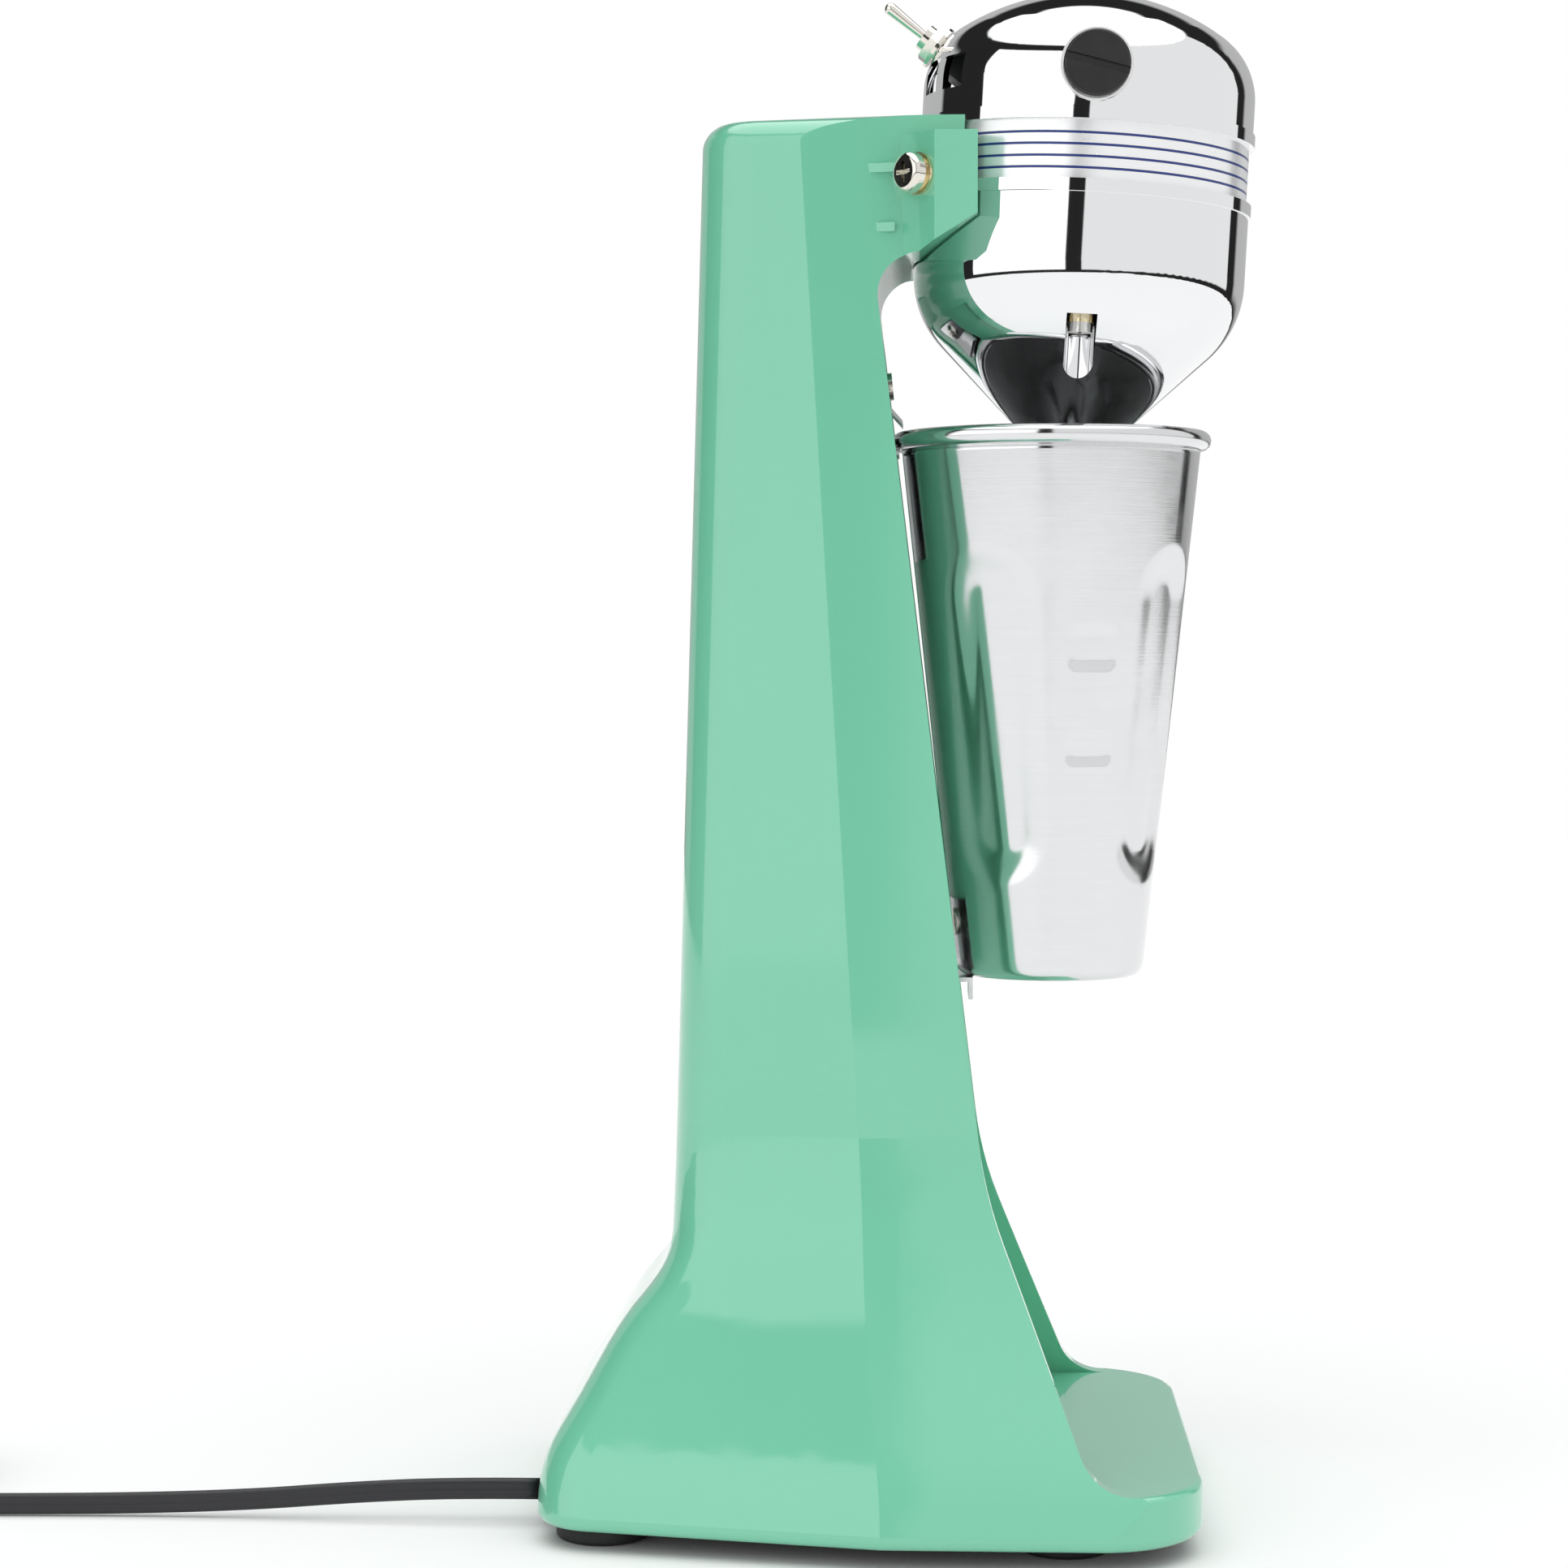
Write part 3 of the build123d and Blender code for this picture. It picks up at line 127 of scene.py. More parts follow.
def make_groups():
    """The effects that several finishes share."""
    group, given, out = group_shell(
        "handling_marks", [("Scale", 60.0), ("Low", 0.1), ("High", 0.2)],
        [("Roughness", "NodeSocketFloat"), ("Height", "NodeSocketFloat")])
    place = group.nodes.new("ShaderNodeTexCoord")
    cloud = add_node(group, "ShaderNodeTexNoise")
    cloud.inputs["Detail"].default_value = 5.0
    cloud.inputs["Roughness"].default_value = 0.6
    group.links.new(place.outputs["Object"], cloud.inputs["Vector"])
    group.links.new(given.outputs["Scale"], cloud.inputs["Scale"])
    spread = add_node(group, "ShaderNodeMapRange")
    group.links.new(cloud.outputs["Fac"], spread.inputs["Value"])
    spread.inputs["From Min"].default_value = 0.35
    spread.inputs["From Max"].default_value = 0.72
    group.links.new(given.outputs["Low"], spread.inputs["To Min"])
    group.links.new(given.outputs["High"], spread.inputs["To Max"])
    group.links.new(spread.outputs["Result"], out.inputs["Roughness"])
    group.links.new(cloud.outputs["Fac"], out.inputs["Height"])

    group, given, out = group_shell(
        "ring_brushing", [("Axis X", 0.0), ("Axis Y", 0.0), ("Fineness", 9000.0)],
        [("Height", "NodeSocketFloat"), ("Streak", "NodeSocketFloat")])
    place = group.nodes.new("ShaderNodeTexCoord")
    parts = group.nodes.new("ShaderNodeSeparateXYZ")
    group.links.new(place.outputs["Object"], parts.inputs[0])
    across = maths(group, "SUBTRACT", parts.outputs["X"], given.outputs["Axis X"])
    along = maths(group, "SUBTRACT", parts.outputs["Y"], given.outputs["Axis Y"])
    turn = maths(group, "ARCTAN2", along, across)
    tall = maths(group, "MULTIPLY", parts.outputs["Z"], given.outputs["Fineness"])
    joined = group.nodes.new("ShaderNodeCombineXYZ")
    for trig, label in (("COSINE", "X"), ("SINE", "Y")):
        swept = maths(group, "MULTIPLY", maths(group, trig, turn), 1.6)
        group.links.new(swept, joined.inputs[label])
    group.links.new(tall, joined.inputs["Z"])
    grain = add_node(group, "ShaderNodeTexNoise")
    grain.inputs["Scale"].default_value = 1.0
    grain.inputs["Detail"].default_value = 3.0
    group.links.new(joined.outputs[0], grain.inputs["Vector"])
    group.links.new(grain.outputs["Fac"], out.inputs["Height"])
    group.links.new(grain.outputs["Fac"], out.inputs["Streak"])


def place_group(tree, name, **values):
    node = tree.nodes.new("ShaderNodeGroup")
    node.node_tree = bpy.data.node_groups[name]
    for label, value in values.items():
        node.inputs[label.replace("_", " ")].default_value = value
    return node


def bump(tree, height, strength, distance, base=None):
    node = tree.nodes.new("ShaderNodeBump")
    node.inputs["Strength"].default_value = strength
    node.inputs["Distance"].default_value = distance
    tree.links.new(height, node.inputs["Height"])
    if base is not None:
        tree.links.new(base, node.inputs["Normal"])
    return node.outputs[0]


def new_finish(name, colour, metallic=0.0, roughness=0.5, coat=0.0, **sockets):
    """A material with its own Principled shader; gives the material, tree and shader."""
    material = bpy.data.materials.new(name)
    material.use_nodes = True
    tree = material.node_tree
    shader = tree.nodes["Principled BSDF"]
    shader.inputs["Base Color"].default_value = (*colour, 1.0)
    shader.inputs["Metallic"].default_value = metallic
    shader.inputs["Roughness"].default_value = roughness
    shader.inputs["Coat Weight"].default_value = coat
    for label, value in sockets.items():
        shader.inputs[label.replace("_", " ")].default_value = value
    return material, tree, shader


def marked_finish(name, colour, metallic, low, high, scale=60.0, dent=0.0, grain=0.0002,
                  other=None, **sockets):
    """A finish whose roughness, height and colour wander a little over the surface."""
    material, tree, shader = new_finish(name, colour, metallic, low, **sockets)
    marks = place_group(tree, "handling_marks", Scale=scale, Low=low, High=high)
    tree.links.new(marks.outputs["Roughness"], shader.inputs["Roughness"])
    if dent:
        tree.links.new(bump(tree, marks.outputs["Height"], dent, grain), shader.inputs["Normal"])
    if other is not None:
        mix = add_node(tree, "ShaderNodeMix", data_type="RGBA")
        mix.inputs["A"].default_value = (*colour, 1.0)
        mix.inputs["B"].default_value = (*other, 1.0)
        tree.links.new(marks.outputs["Height"], mix.inputs["Factor"])
        tree.links.new(mix.outputs["Result"], shader.inputs["Base Color"])
    return material


def head_height(tree):
    """Distance above the head's seam, in millimetres, as a value over the surface."""
    place = tree.nodes.new("ShaderNodeTexCoord")
    offset = add_node(tree, "ShaderNodeVectorMath", operation="SUBTRACT")
    offset.inputs[1].default_value = head_seam
    tree.links.new(place.outputs["Object"], offset.inputs[0])
    reach = add_node(tree, "ShaderNodeVectorMath", operation="DOT_PRODUCT")
    reach.inputs[1].default_value = head_axis
    tree.links.new(offset.outputs["Vector"], reach.inputs[0])
    return maths(tree, "MULTIPLY", reach.outputs["Value"], 1000.0)


def striped_band(finish):
    """Satin metal with four thin printed lines round it."""
    ground = (0.93, 0.94, 0.95)
    metallic = 0.55
    line_levels = (2.9, 5.9, 9.0, 12.0)     # millimetres above the head's seam
    line_half = 0.34                        # half of a line's width
    material, tree, shader = new_finish("trim_band_metal", ground, metallic, 0.24)
    level = head_height(tree)
    total = None
    for line in line_levels:
        hit = maths(tree, "COMPARE", level, line, line_half)
        total = hit if total is None else maths(tree, "ADD", total, hit, clamp=True)
    mix = add_node(tree, "ShaderNodeMix", data_type="RGBA")
    mix.inputs["A"].default_value = (*ground, 1.0)
    mix.inputs["B"].default_value = (*finish.stripe, 1.0)
    tree.links.new(total, mix.inputs["Factor"])
    tree.links.new(mix.outputs["Result"], shader.inputs["Base Color"])
    printed = maths(tree, "MULTIPLY", total, metallic)
    tree.links.new(maths(tree, "SUBTRACT", metallic, printed), shader.inputs["Metallic"])
    marks = place_group(tree, "handling_marks", Scale=90.0, Low=0.18, High=0.30)
    tree.links.new(marks.outputs["Roughness"], shader.inputs["Roughness"])
    tree.links.new(bump(tree, total, 0.4, 0.00005), shader.inputs["Normal"])
    return material


def spun_metal(name, colour, centre, roughness, strength):
    """Spun metal with fine rings round an upright axis."""
    material, tree, shader = new_finish(
        name, colour, 1.0, roughness, Anisotropic=0.6, Anisotropic_Rotation=0.25)
    rings = place_group(
        tree, "ring_brushing", Axis_X=centre[0], Axis_Y=centre[1], Fineness=5200.0)
    marks = place_group(
        tree, "handling_marks", Scale=45.0, Low=roughness - 0.03, High=roughness + 0.07)
    tree.links.new(marks.outputs["Roughness"], shader.inputs["Roughness"])
    tree.links.new(bump(tree, rings.outputs["Height"], strength, 0.00006), shader.inputs["Normal"])
    mix = add_node(tree, "ShaderNodeMix", data_type="RGBA")
    mix.inputs["A"].default_value = (*[c * 0.90 for c in colour], 1.0)
    mix.inputs["B"].default_value = (*colour, 1.0)
    tree.links.new(rings.outputs["Streak"], mix.inputs["Factor"])
    tree.links.new(mix.outputs["Result"], shader.inputs["Base Color"])
    tangent = add_node(tree, "ShaderNodeTangent", direction_type="RADIAL", axis="Z")
    tree.links.new(tangent.outputs[0], shader.inputs["Tangent"])
    return material


def enamel_finish(finish):
    """Thick glossy enamel with a faint orange-peel under a clear coat."""
    colour = tuple(finish.enamel)
    darker = tuple(c * 0.93 for c in colour)
    material, tree, shader = new_finish("stand_enamel", colour, 0.0, 0.30, coat=1.0)
    shader.inputs["Coat Roughness"].default_value = 0.045
    shader.inputs["Coat IOR"].default_value = 1.6
    marks = place_group(tree, "handling_marks", Scale=9.0, Low=0.28, High=0.28 + 0.2 * finish.wear)
    peel = place_group(tree, "handling_marks", Scale=420.0, Low=0.0, High=1.0)
    mix = add_node(tree, "ShaderNodeMix", data_type="RGBA")
    mix.inputs["A"].default_value = (*darker, 1.0)
    mix.inputs["B"].default_value = (*colour, 1.0)
    tree.links.new(marks.outputs["Height"], mix.inputs["Factor"])
    tree.links.new(mix.outputs["Result"], shader.inputs["Base Color"])
    tree.links.new(marks.outputs["Roughness"], shader.inputs["Roughness"])
    tree.links.new(bump(tree, peel.outputs["Height"], 0.10, 0.0002), shader.inputs["Normal"])
    return material


def laminated(name):
    """Varnished stack of thin sheets, lined across the head's axis."""
    material, tree, shader = new_finish(name, (0.14, 0.15, 0.17), 0.7, 0.42)
    level = head_height(tree)
    wave = maths(tree, "SINE", maths(tree, "MULTIPLY", level, 9.0))
    tree.links.new(bump(tree, wave, 0.5, 0.0001), shader.inputs["Normal"])
    marks = place_group(tree, "handling_marks", Scale=80.0, Low=0.32, High=0.55)
    tree.links.new(marks.outputs["Roughness"], shader.inputs["Roughness"])
    return material


def wound(name):
    """Enamelled wire laid side by side."""
    material, tree, shader = new_finish(name, (0.56, 0.20, 0.08), 0.8, 0.30)
    place = tree.nodes.new("ShaderNodeTexCoord")
    wave = add_node(tree, "ShaderNodeTexWave", wave_type="BANDS", bands_direction="DIAGONAL")
    wave.inputs["Scale"].default_value = 260.0
    wave.inputs["Distortion"].default_value = 1.5
    tree.links.new(place.outputs["Object"], wave.inputs["Vector"])
    tree.links.new(bump(tree, wave.outputs["Fac"], 0.6, 0.0003), shader.inputs["Normal"])
    mix = add_node(tree, "ShaderNodeMix", data_type="RGBA")
    mix.inputs["A"].default_value = (0.36, 0.11, 0.04, 1.0)
    mix.inputs["B"].default_value = (0.66, 0.26, 0.10, 1.0)
    tree.links.new(wave.outputs["Fac"], mix.inputs["Factor"])
    tree.links.new(mix.outputs["Result"], shader.inputs["Base Color"])
    return material


# Name, colour, metallic, lowest and highest roughness, scale and depth of the marks, and nodes.
plain_finishes = (
    ("head_chrome", (0.86, 0.865, 0.875), 1.0, 0.018, 0.045, 30.0, 0.02,
     ("upper_motor_housing", "lower_motor_housing")),
    ("strip_steel", (0.72, 0.72, 0.73), 1.0, 0.16, 0.30, 140.0, 0.06, ("cup_bracket", "cup_rest")),
    ("nickel_plate", (0.80, 0.77, 0.70), 1.0, 0.06, 0.16, 220.0, 0.05,
     ("ear_screws", "cup_bracket_screw", "cup_rest_screw", "toggle_nut", "toggle_washer",
      "toggle_bushing", "toggle_lever")),
    ("washer_brass", (0.78, 0.68, 0.46), 1.0, 0.14, 0.28, 260.0, 0.08,
     ("ear_washers", "housing_washers")),
    ("polished_steel", (0.76, 0.76, 0.77), 1.0, 0.08, 0.18, 160.0, 0.05,
     ("rod_collar", "mixing_rod", "agitator_disc")),
    ("plate_black", (0.022, 0.022, 0.023), 0.1, 0.38, 0.60, 120.0, 0.2, ("base_plate",)),
    ("cast_iron", (0.13, 0.13, 0.14), 0.8, 0.55, 0.75, 260.0, 0.6, ("ballast_weight",)),
    ("foot_rubber", (0.014, 0.014, 0.015), 0.0, 0.55, 0.72, 200.0, 0.25, ("rubber_feet",)),
    ("zinc_plate", (0.66, 0.66, 0.64), 1.0, 0.22, 0.38, 200.0, 0.08,
     ("base_screws", "foot_screws", "housing_screws", "housing_nuts")),
    ("turned_copper", (0.74, 0.38, 0.20), 1.0, 0.18, 0.34, 180.0, 0.1, ("commutator",)),
    ("ground_steel", (0.62, 0.62, 0.63), 1.0, 0.18, 0.32, 180.0, 0.05,
     ("motor_shaft", "lower_bearing", "upper_bearing", "brush_springs")),
    ("moulded_black", (0.025, 0.025, 0.026), 0.0, 0.38, 0.55, 160.0, 0.12,
     ("cooling_fan", "toggle_switch_body")),
    ("cast_alloy", (0.62, 0.62, 0.63), 1.0, 0.42, 0.60, 220.0, 0.4, ("bearing_bridge",)),
    ("holder_ring", (0.80, 0.80, 0.80), 1.0, 0.08, 0.18, 180.0, 0.05, ("brush_holders",)),
    ("pressed_carbon", (0.02, 0.02, 0.021), 0.0, 0.45, 0.60, 300.0, 0.3, ("carbon_brushes",)),
    ("cap_phenolic", (0.012, 0.012, 0.013), 0.0, 0.14, 0.30, 140.0, 0.06, ("brush_caps",)),
    ("moulded_vinyl", (0.016, 0.016, 0.018), 0.0, 0.36, 0.52, 220.0, 0.15,
     ("cord_strain_relief", "lead_grommet", "inner_lead", "power_plug")),
    ("blade_brass", (0.76, 0.66, 0.42), 1.0, 0.16, 0.30, 200.0, 0.06, ("plug_blades",)),
)


def dress(names, material):
    """Gives CAD nodes a finish."""
    for name in names:
        node = frame["nodes"][name]
        if not node.material_slots:
            node.data.materials.append(material)
        for spot in node.material_slots:
            spot.material = material


def smooth_mesh(name, vertices, faces):
    """A new mesh object with smooth faces, in the scene."""
    mesh = bpy.data.meshes.new(name)
    mesh.from_pydata(vertices, [], faces)
    mesh.validate()
    mesh.polygons.foreach_set("use_smooth", [True] * len(mesh.polygons))
    piece = bpy.data.objects.new(name, mesh)
    bpy.context.scene.collection.objects.link(piece)
    return piece


def eased(value):
    value = min(max(value, 0.0), 1.0)
    return value * value * (3 - 2 * value)


# ---------------------------------------------------------------- operators
class MIXER_OT_camera(bpy.types.Operator):
    """Sets the camera beside the mixer, on its left"""

    bl_idname = "mixer.camera"
    bl_label = "Camera"

    place = (-0.93077, -0.00860, 0.23503)
    aim = (0.998217, 0.043807, -0.040554)
    focal_length = 77.587

    def execute(self, context):
        lens = bpy.data.cameras.new("view_from_side")
        lens.lens = self.focal_length
        lens.sensor_width = 36.0
        lens.clip_start = 0.05
        lens.clip_end = 40.0
        camera = bpy.data.objects.new("view_from_side", lens)
        context.scene.collection.objects.link(camera)
        camera.location = self.place
        camera.rotation_mode = "QUATERNION"
        camera.rotation_quaternion = Vector(self.aim).to_track_quat("-Z", "Y")
        context.scene.camera = camera
        return {"FINISHED"}


class MIXER_OT_lead(bpy.types.Operator):
    """Builds the flat twin lead: its run along the counter and the stored coil"""

    bl_idname = "mixer.lead"
    bl_label = "Lead"

    run = (
        (-0.0340, 0.0962, 0.0088), (-0.0340, 0.1190, 0.0088), (-0.0337, 0.1460, 0.0073),
        (-0.0330, 0.1750, 0.0047), (-0.0327, 0.2080, 0.0033), (-0.0338, 0.2430, 0.0030),
        (-0.0352, 0.2760, 0.0030))
    turns = 3
    steps = 14              # control points in a turn
    gap = 0.0002            # between turns, and from the coil's outside

    def route(self, width):
        """The lead's control points, in metres: the run, the coil, then into the plug."""
        points = list(self.run)
        centre = (coil_low + coil_high) / 2
        plug_centre = (plug_low + plug_high) / 2
        outer = coil_high.x - centre.x - width / 2 - self.gap
        inner = outer - width - self.gap
        low, high = width / 2 + 0.0001, width * 1.5 + 0.0003
        for step in range(1, self.turns * self.steps + 1):
            turned = 360.0 * step / self.steps
            # The second turn lies inside the first, and the third lies on top of it.
            radius = outer + (inner - outer) * eased((turned - 300) / 60)
            radius += (outer - inner) * eased((turned - 930) / 50)
            level = low + (high - low) * eased((turned - 615) / 60)
            angle = math.radians(180 - turned)
            # A control point stands a little outside the curve that it pulls.
            reach = radius / (0.75 + 0.25 * math.cos(2 * math.pi / self.steps))
            points.append((
                centre.x + reach * math.cos(angle), centre.y + reach * math.sin(angle), level))
        exit_x = points[-1][0]
        points[-1] = (exit_x, centre.y - 0.002, high)
        points.append((exit_x + 0.0010, centre.y + 0.014, high - 0.0003))
        points.append((plug_centre.x, plug_low.y + 0.0065, plug_centre.z))
        return points

    def trace(self, points):
        """Evenly stepped places along the smooth curve that the control points make."""
        line = bpy.data.curves.new("lead_line", "CURVE")
        line.dimensions = "3D"
        spline = line.splines.new("NURBS")
        spline.points.add(len(points) - 1)
        for point, place in zip(spline.points, points):
            point.co = (*place, 1.0)
        spline.order_u = 3
        spline.use_endpoint_u = True
        line.resolution_u = 10
        guide = bpy.data.objects.new("lead_line", line)
        bpy.context.scene.collection.objects.link(guide)
        bpy.context.view_layer.update()
        traced = bpy.data.meshes.new_from_object(guide)
        path = [vertex.co.copy() for vertex in traced.vertices]
        bpy.data.objects.remove(guide)
        bpy.data.meshes.remove(traced)
        return path

    def section(self, width):
        """The figure-of-eight section: two round lobes side by side, as (flat, tall) pairs."""
        lobe = width / 4
        ring = []
        for side, start in ((1, -60), (-1, 120)):
            for step in range(11):
                angle = math.radians(start + step * 24)
                ring.append((lobe * math.cos(angle), side * lobe + lobe * math.sin(angle)))
        return ring

    def sweep(self, path, ring):
        """The section carried along the path, closed at both ends."""
        vertices, faces = [], []
        count = len(ring)
        for index, place in enumerate(path):
            ahead = path[min(index + 1, len(path) - 1)] - path[max(index - 1, 0)]
            ahead.normalize()
            across = ahead.cross(Vector((0, 0, 1))).normalized()
            up = across.cross(ahead)
            for flat, tall in ring:
                vertices.append(place + across * flat + up * tall)
            if index:
                base = index * count
                for step in range(count):
                    after = (step + 1) % count
                    faces.append(
                        (base - count + step, base - count + after, base + after, base + step))
        faces.append(tuple(reversed(range(count))))
        faces.append(tuple(range(len(vertices) - count, len(vertices))))
        return vertices, faces

    def execute(self, context):
        width = context.scene.mixer_sizes.cord_width
        points = self.route(width)
        path = self.trace(points)
        lead = smooth_mesh("flat_twin_lead", *self.sweep(path, self.section(width)))
        lead.data.materials.append(marked_finish(
            "lead_vinyl", (0.016, 0.016, 0.019), 0.0, 0.30, 0.46, scale=300.0, dent=0.15))
        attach(lead, "stand")
        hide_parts("power_cord", "cord_coil")
        return {"FINISHED"}


class MIXER_OT_cup(bpy.types.Operator):
    """Builds the spun cup with its rolled rim, four flutes and two level marks"""

    bl_idname = "mixer.cup"
    bl_label = "Cup"

    bead = 0.0026                   # radius of the rolled rim
    wall = 0.0009
    base_radius = 0.0254
    foot = 0.0034                   # radius where the base turns into the side
    rise = 150                      # steps up the side
    around = 288                    # steps round the cup
    flute_angles = (-30, 60, 150, 240)
    flute_low, flute_high = 0.1710, 0.2615
    flute_width = 0.0146            # half width of a flute
    mark_angle = 17
    marks = ((0.2347, 0.0046), (0.2075, 0.0028))    # height and half height of each
    mark_half = 0.0040              # half width of a mark's flat middle
    mark_edge = 0.0028              # how far its sloping edge reaches past that

    def outline(self):
        """The wall from the middle of its base up the outside, over the rim and down the inside.

        Gives the (radius, height) pairs and the stretches of them that are pressed.
        """
        top_radius = (cup_high.x - cup_low.x) / 2 - self.bead
        base = self.base_radius
        floor, rim = cup_low.z, cup_high.z - self.bead

        def side(z):
            return base + (top_radius - base) * (z - floor) / (rim - floor)

        profile = [
            (0.0, floor + 0.0012), (base - 0.010, floor + 0.0012),
            (base - 0.0065, floor + 0.0006), (base - 0.0045, floor)]
        for step in range(7):
            angle = math.radians(-90 + 15 * step * 0.94)
            profile.append((base - self.foot * 0.92 + self.foot * math.cos(angle),
                            floor + self.foot + self.foot * math.sin(angle)))
        start = floor + self.foot * 1.02
        outer_top = rim - 0.0022
        for step in range(1, self.rise):
            z = start + (outer_top - start) * step / self.rise
            profile.append((side(z), z))
        outside = range(len(profile) - self.rise + 1, len(profile))
        for step in range(15):
            angle = math.radians(-128 + step * 308 / 14)
            profile.append((top_radius + self.bead * math.cos(angle),
                            rim + self.bead * math.sin(angle)))
        inner_from = len(profile)
        inner_top = rim - 0.001
        for step in range(1, self.rise):
            z = inner_top - (inner_top - start) * step / self.rise
            profile.append((side(z) - self.wall, z))
        inside = range(inner_from, len(profile))
        profile += [(base - 0.0016, floor + 0.0030), (base - 0.0045, floor + 0.0017),
                    (base - 0.0080, floor + 0.0020), (0.0, floor + 0.0020)]
        return profile, outside, inside

    def pressed(self, sizes, angle, z, radius):
        """How far the wall is pressed in at an angle from -X towards -Y."""
        middle = (self.flute_low + self.flute_high) / 2
        half = 0.0455
        width = self.flute_width
        depth = 0.0
        for centre_angle in self.flute_angles:
            apart = (angle - centre_angle + 180) % 360 - 180
            if abs(apart) < 40:
                over = math.radians(apart) * radius
                past = max(abs(z - middle) - (half - width), 0.0)
                away = math.hypot(over, past) / width
                depth += sizes.flute_depth * eased((1.06 - away) / 0.72)
        for mark_z, tall in self.marks:
            apart = (angle - self.mark_angle + 180) % 360 - 180
            if abs(apart) < 30:
                over = max(abs(math.radians(apart) * radius) - self.mark_half, 0.0)
                past = max(abs(z - mark_z) - (tall - 0.0016), 0.0)
                depth += sizes.dent_depth * eased(
                    (self.mark_edge - math.hypot(over, past)) / 0.0018)
        return depth

    def rings(self, sizes, centre):
        """The outline turned round the cup's axis: vertices, rows of them, the first inside."""
        profile, outside, inside = self.outline()
        vertices, rows = [], []
        inner_first = 0
        for index, (radius, z) in enumerate(profile):
            if index == inside.start:
                inner_first = len(vertices)
            if radius < 1e-6:
                rows.append([len(vertices)])
                vertices.append((centre.x, centre.y, z))
                continue
            row = []
            for step in range(self.around):
                angle = 360.0 * step / self.around
                shift = 0.0
                if index in outside or index in inside:
                    shift = self.pressed(sizes, angle, z, radius)
                turn = math.radians(angle)
                row.append(len(vertices))
                reach = radius - shift
                vertices.append(
                    (centre.x - reach * math.cos(turn), centre.y - reach * math.sin(turn), z))
            rows.append(row)
        return vertices, rows, inner_first

    def skin(self, rows):
        """Faces between each row and the next; a row of one vertex closes to a point."""
        faces = []
        for low_row, high_row in zip(rows, rows[1:]):
            for step in range(self.around):
                after = (step + 1) % self.around
                if len(low_row) == 1:
                    faces.append((low_row[0], high_row[after], high_row[step]))
                elif len(high_row) == 1:
                    faces.append((low_row[step], low_row[after], high_row[0]))
                else:
                    faces.append((low_row[step], low_row[after], high_row[after], high_row[step]))
        return faces

    def execute(self, context):
        sizes = context.scene.mixer_sizes
        finish = context.scene.mixer_finish
        centre = (cup_low + cup_high) / 2
        vertices, rows, inner_first = self.rings(sizes, centre)
        faces = self.skin(rows)
        cup = smooth_mesh("spun_cup", vertices, faces)
        shape = bmesh.new()
        shape.from_mesh(cup.data)
        bmesh.ops.recalc_face_normals(shape, faces=shape.faces)
        shape.to_mesh(cup.data)
        shape.free()
        cup.data.materials.append(spun_metal(
            "spun_cup_metal", tuple(finish.cup_metal), (centre.x, centre.y), 0.14, 0.14))
        cup.data.materials.append(marked_finish(
            "cup_inside_metal", tuple(finish.cup_metal), 1.0, 0.36, 0.50, scale=90.0, dent=0.1))
        for face in cup.data.polygons:
            if any(inner_first <= corner for corner in face.vertices):
                face.material_index = 1
        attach(cup, "cup")
        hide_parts("mixing_cup")
        return {"FINISHED"}


class MIXER_OT_finishes(bpy.types.Operator):
    """Gives every carried-over piece its finish"""

    bl_idname = "mixer.finishes"
    bl_label = "Finishes"

    def execute(self, context):
        finish = context.scene.mixer_finish
        dress(["stand_housing"], enamel_finish(finish))
        dress(["trim_band"], striped_band(finish))
        dress(["field_core", "armature_core"], laminated("stack_lamination"))
        dress(["field_coils", "armature_windings"], wound("enamelled_wire"))
        for name, colour, metallic, low, high, scale, dent, nodes in plain_finishes:
            dress(nodes, marked_finish(name, colour, metallic, low, high, scale=scale, dent=dent))
        return {"FINISHED"}


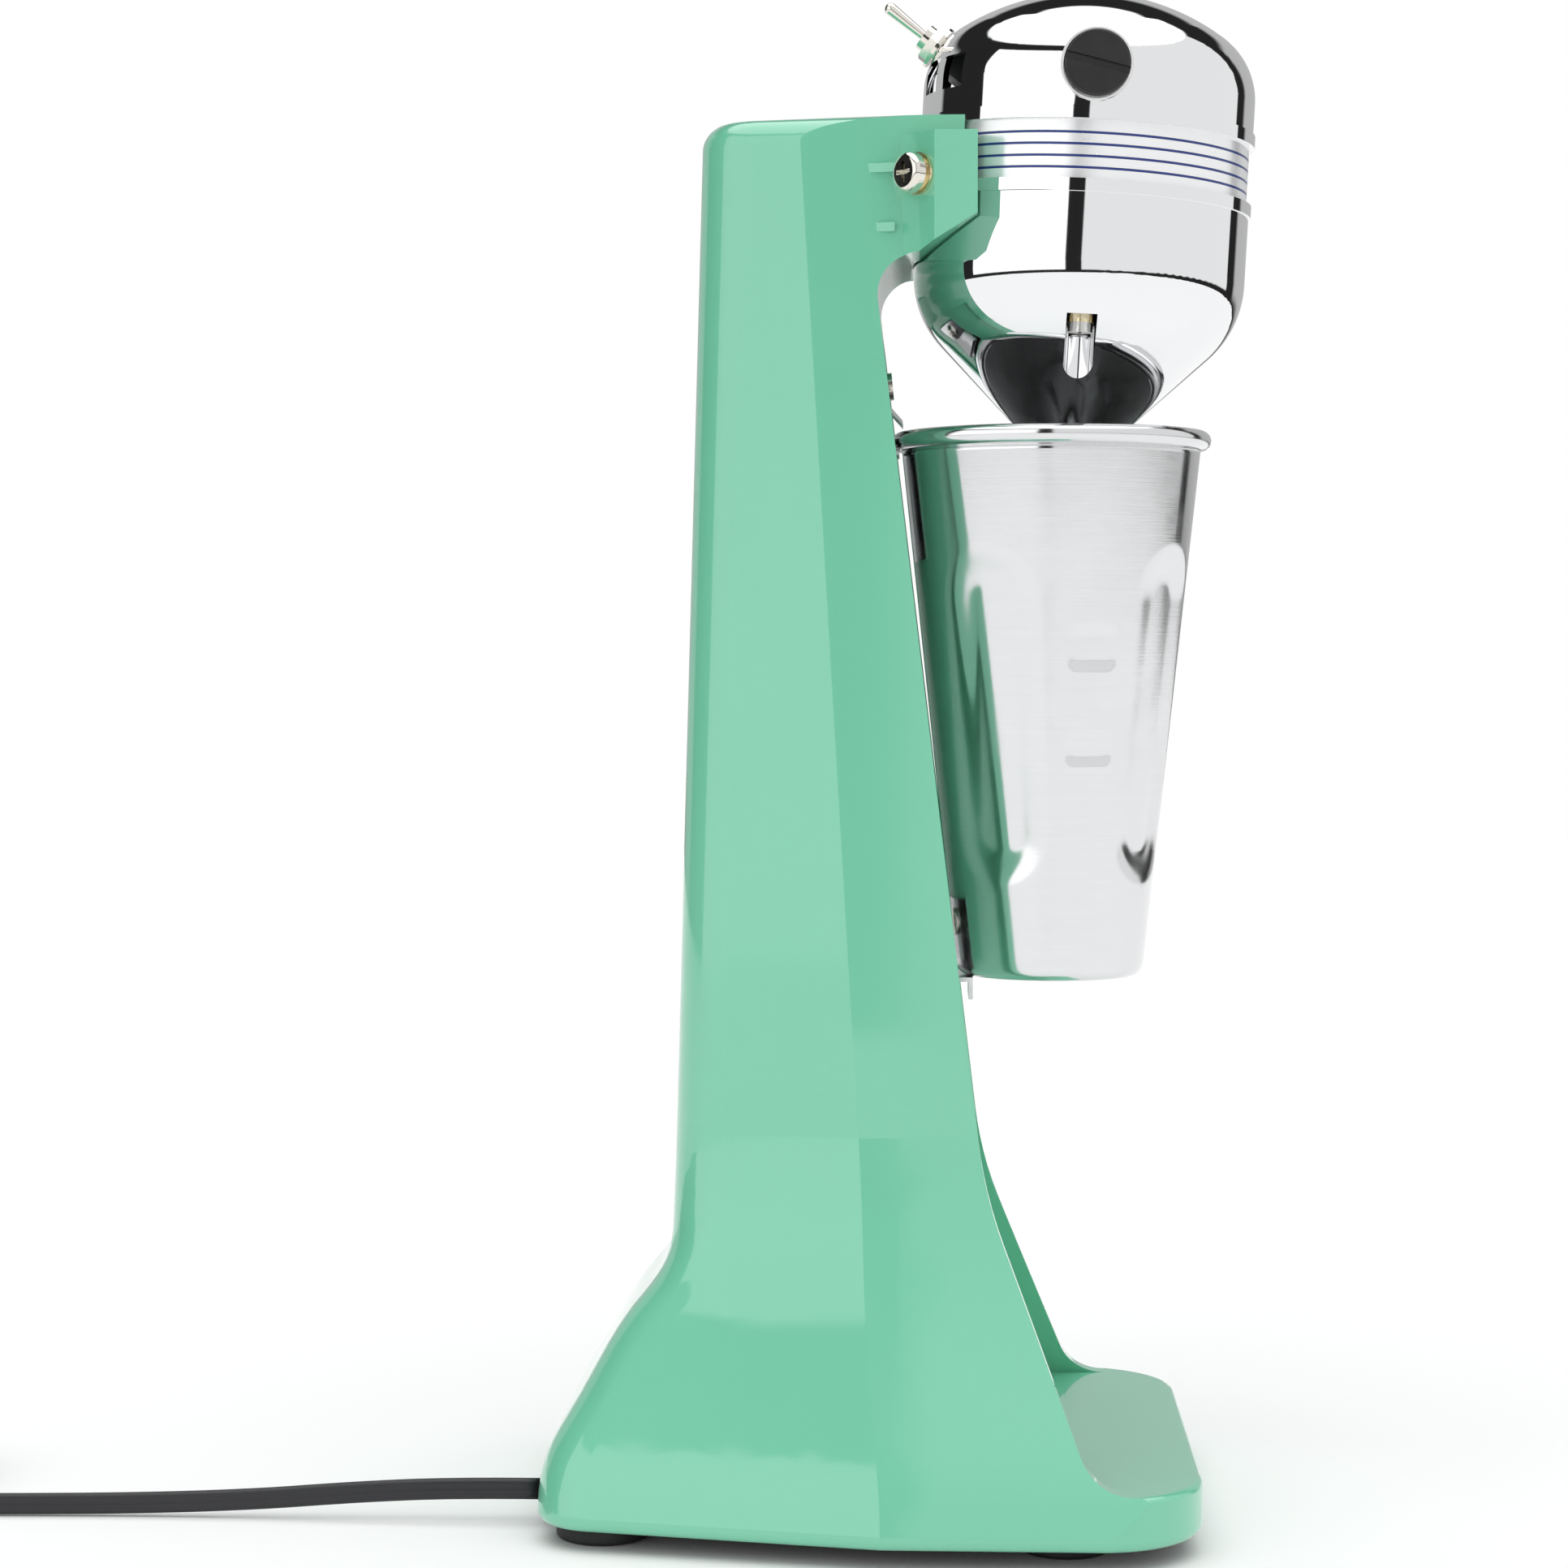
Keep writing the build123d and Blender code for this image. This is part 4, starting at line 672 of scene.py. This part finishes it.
class MIXER_OT_stage(bpy.types.Operator):
    """Lays a pale floor and lights it like a small studio with big soft boxes"""

    bl_idname = "mixer.stage"
    bl_label = "Stage"

    # Left, right, low and high edges in degrees, softness of the edges, and power. The first two
    # are turned from -X towards -Y, and the others are raised from level.
    soft_boxes = (
        (-80.0, -11.5, -3.0, 41.0, 1.2, 1.35),
        (-0.5, 122.0, -3.0, 52.0, 1.2, 0.88),
        (134.0, 190.0, -3.0, 32.0, 6.0, 0.50),
        (-190.0, -124.0, -3.0, 32.0, 6.0, 0.50),
        (-200.0, 200.0, 50.0, 120.0, 3.0, 1.90),
    )
    between = 0.02          # power between the soft boxes
    backdrop_power = 1.0    # power of what the camera sees behind the floor

    def within(self, tree, value, low, high, soft):
        """1 where a value lies between two edges and 0 outside, with soft edges."""
        rise = add_node(tree, "ShaderNodeMapRange", interpolation_type="SMOOTHSTEP")
        fall = add_node(tree, "ShaderNodeMapRange", interpolation_type="SMOOTHSTEP")
        for node, edge, start, end in ((rise, low, 0.0, 1.0), (fall, high, 1.0, 0.0)):
            tree.links.new(value, node.inputs["Value"])
            node.inputs["From Min"].default_value = edge - soft / 2
            node.inputs["From Max"].default_value = edge + soft / 2
            node.inputs["To Min"].default_value = start
            node.inputs["To Max"].default_value = end
        return maths(tree, "MULTIPLY", rise.outputs[0], fall.outputs[0])

    def execute(self, context):
        sizes = context.scene.mixer_sizes
        disc = bmesh.new()
        bmesh.ops.create_circle(disc, cap_ends=True, segments=96, radius=sizes.room)
        mesh = bpy.data.meshes.new("counter_floor")
        disc.to_mesh(mesh)
        disc.free()
        floor = bpy.data.objects.new("counter_floor", mesh)
        floor.location.z = -0.0002      # just under the feet, so that the two never share a face
        context.scene.collection.objects.link(floor)
        mesh.materials.append(marked_finish(
            "floor_card", (0.95, 0.95, 0.95), 0.0, 0.85, 0.95, scale=4.0))
        world = bpy.data.worlds.new("soft_studio")
        context.scene.world = world
        world.use_nodes = True
        tree = world.node_tree
        backdrop = tree.nodes["Background"]
        way = tree.nodes.new("ShaderNodeTexCoord")
        parts = tree.nodes.new("ShaderNodeSeparateXYZ")
        tree.links.new(way.outputs["Generated"], parts.inputs[0])
        degrees = 180.0 / math.pi
        turned = maths(tree, "ARCTAN2", maths(tree, "MULTIPLY", parts.outputs["Y"], -1.0),
                       maths(tree, "MULTIPLY", parts.outputs["X"], -1.0))
        turned = maths(tree, "MULTIPLY", turned, degrees)
        lifted = maths(tree, "MULTIPLY", maths(tree, "ARCSINE", parts.outputs["Z"]), degrees)

        light = None
        for left, right, low, high, soft, power in self.soft_boxes:
            patch = maths(tree, "MULTIPLY", self.within(tree, turned, left, right, soft),
                          self.within(tree, lifted, low, high, soft))
            patch = maths(tree, "MULTIPLY", patch, power)
            light = patch if light is None else maths(tree, "MAXIMUM", light, patch)
        light = maths(tree, "MAXIMUM", light, self.between)
        seen = tree.nodes.new("ShaderNodeLightPath")
        mix = add_node(tree, "ShaderNodeMix", data_type="FLOAT")
        tree.links.new(seen.outputs["Is Camera Ray"], mix.inputs["Factor"])
        tree.links.new(light, mix.inputs["A"])
        mix.inputs["B"].default_value = self.backdrop_power
        tree.links.new(mix.outputs["Result"], backdrop.inputs["Strength"])
        backdrop.inputs["Color"].default_value = (1.0, 1.0, 1.0, 1.0)
        context.scene.view_settings.view_transform = "Standard"
        return {"FINISHED"}


class MIXER_PT_panel(bpy.types.Panel):
    """Lists the mixer's settings and steps"""

    bl_idname = "MIXER_PT_panel"
    bl_label = "Milkshake Mixer"
    bl_space_type = "VIEW_3D"
    bl_region_type = "UI"
    bl_category = "Mixer"

    def draw(self, context):
        layout = self.layout
        scene = context.scene
        for name in ("enamel", "stripe", "cup_metal", "wear"):
            layout.prop(scene.mixer_finish, name)
        for name in ("cord_width", "flute_depth", "dent_depth", "room"):
            layout.prop(scene.mixer_sizes, name)
        for step in steps:
            layout.operator(step.bl_idname)


steps = (MIXER_OT_camera, MIXER_OT_lead, MIXER_OT_cup, MIXER_OT_finishes, MIXER_OT_stage)
classes = (MixerFinish, MixerSizes, *steps, MIXER_PT_panel)


def register():
    for kind in classes:
        bpy.utils.register_class(kind)
    bpy.types.Scene.mixer_finish = bpy.props.PointerProperty(type=MixerFinish)
    bpy.types.Scene.mixer_sizes = bpy.props.PointerProperty(type=MixerSizes)


def unregister():
    del bpy.types.Scene.mixer_sizes
    del bpy.types.Scene.mixer_finish
    for kind in reversed(classes):
        bpy.utils.unregister_class(kind)


def main():
    register()
    make_groups()
    bpy.ops.mixer.camera()
    bpy.ops.mixer.lead()
    bpy.ops.mixer.cup()
    bpy.ops.mixer.finishes()
    bpy.ops.mixer.stage()


if __name__ == "__main__":
    main()
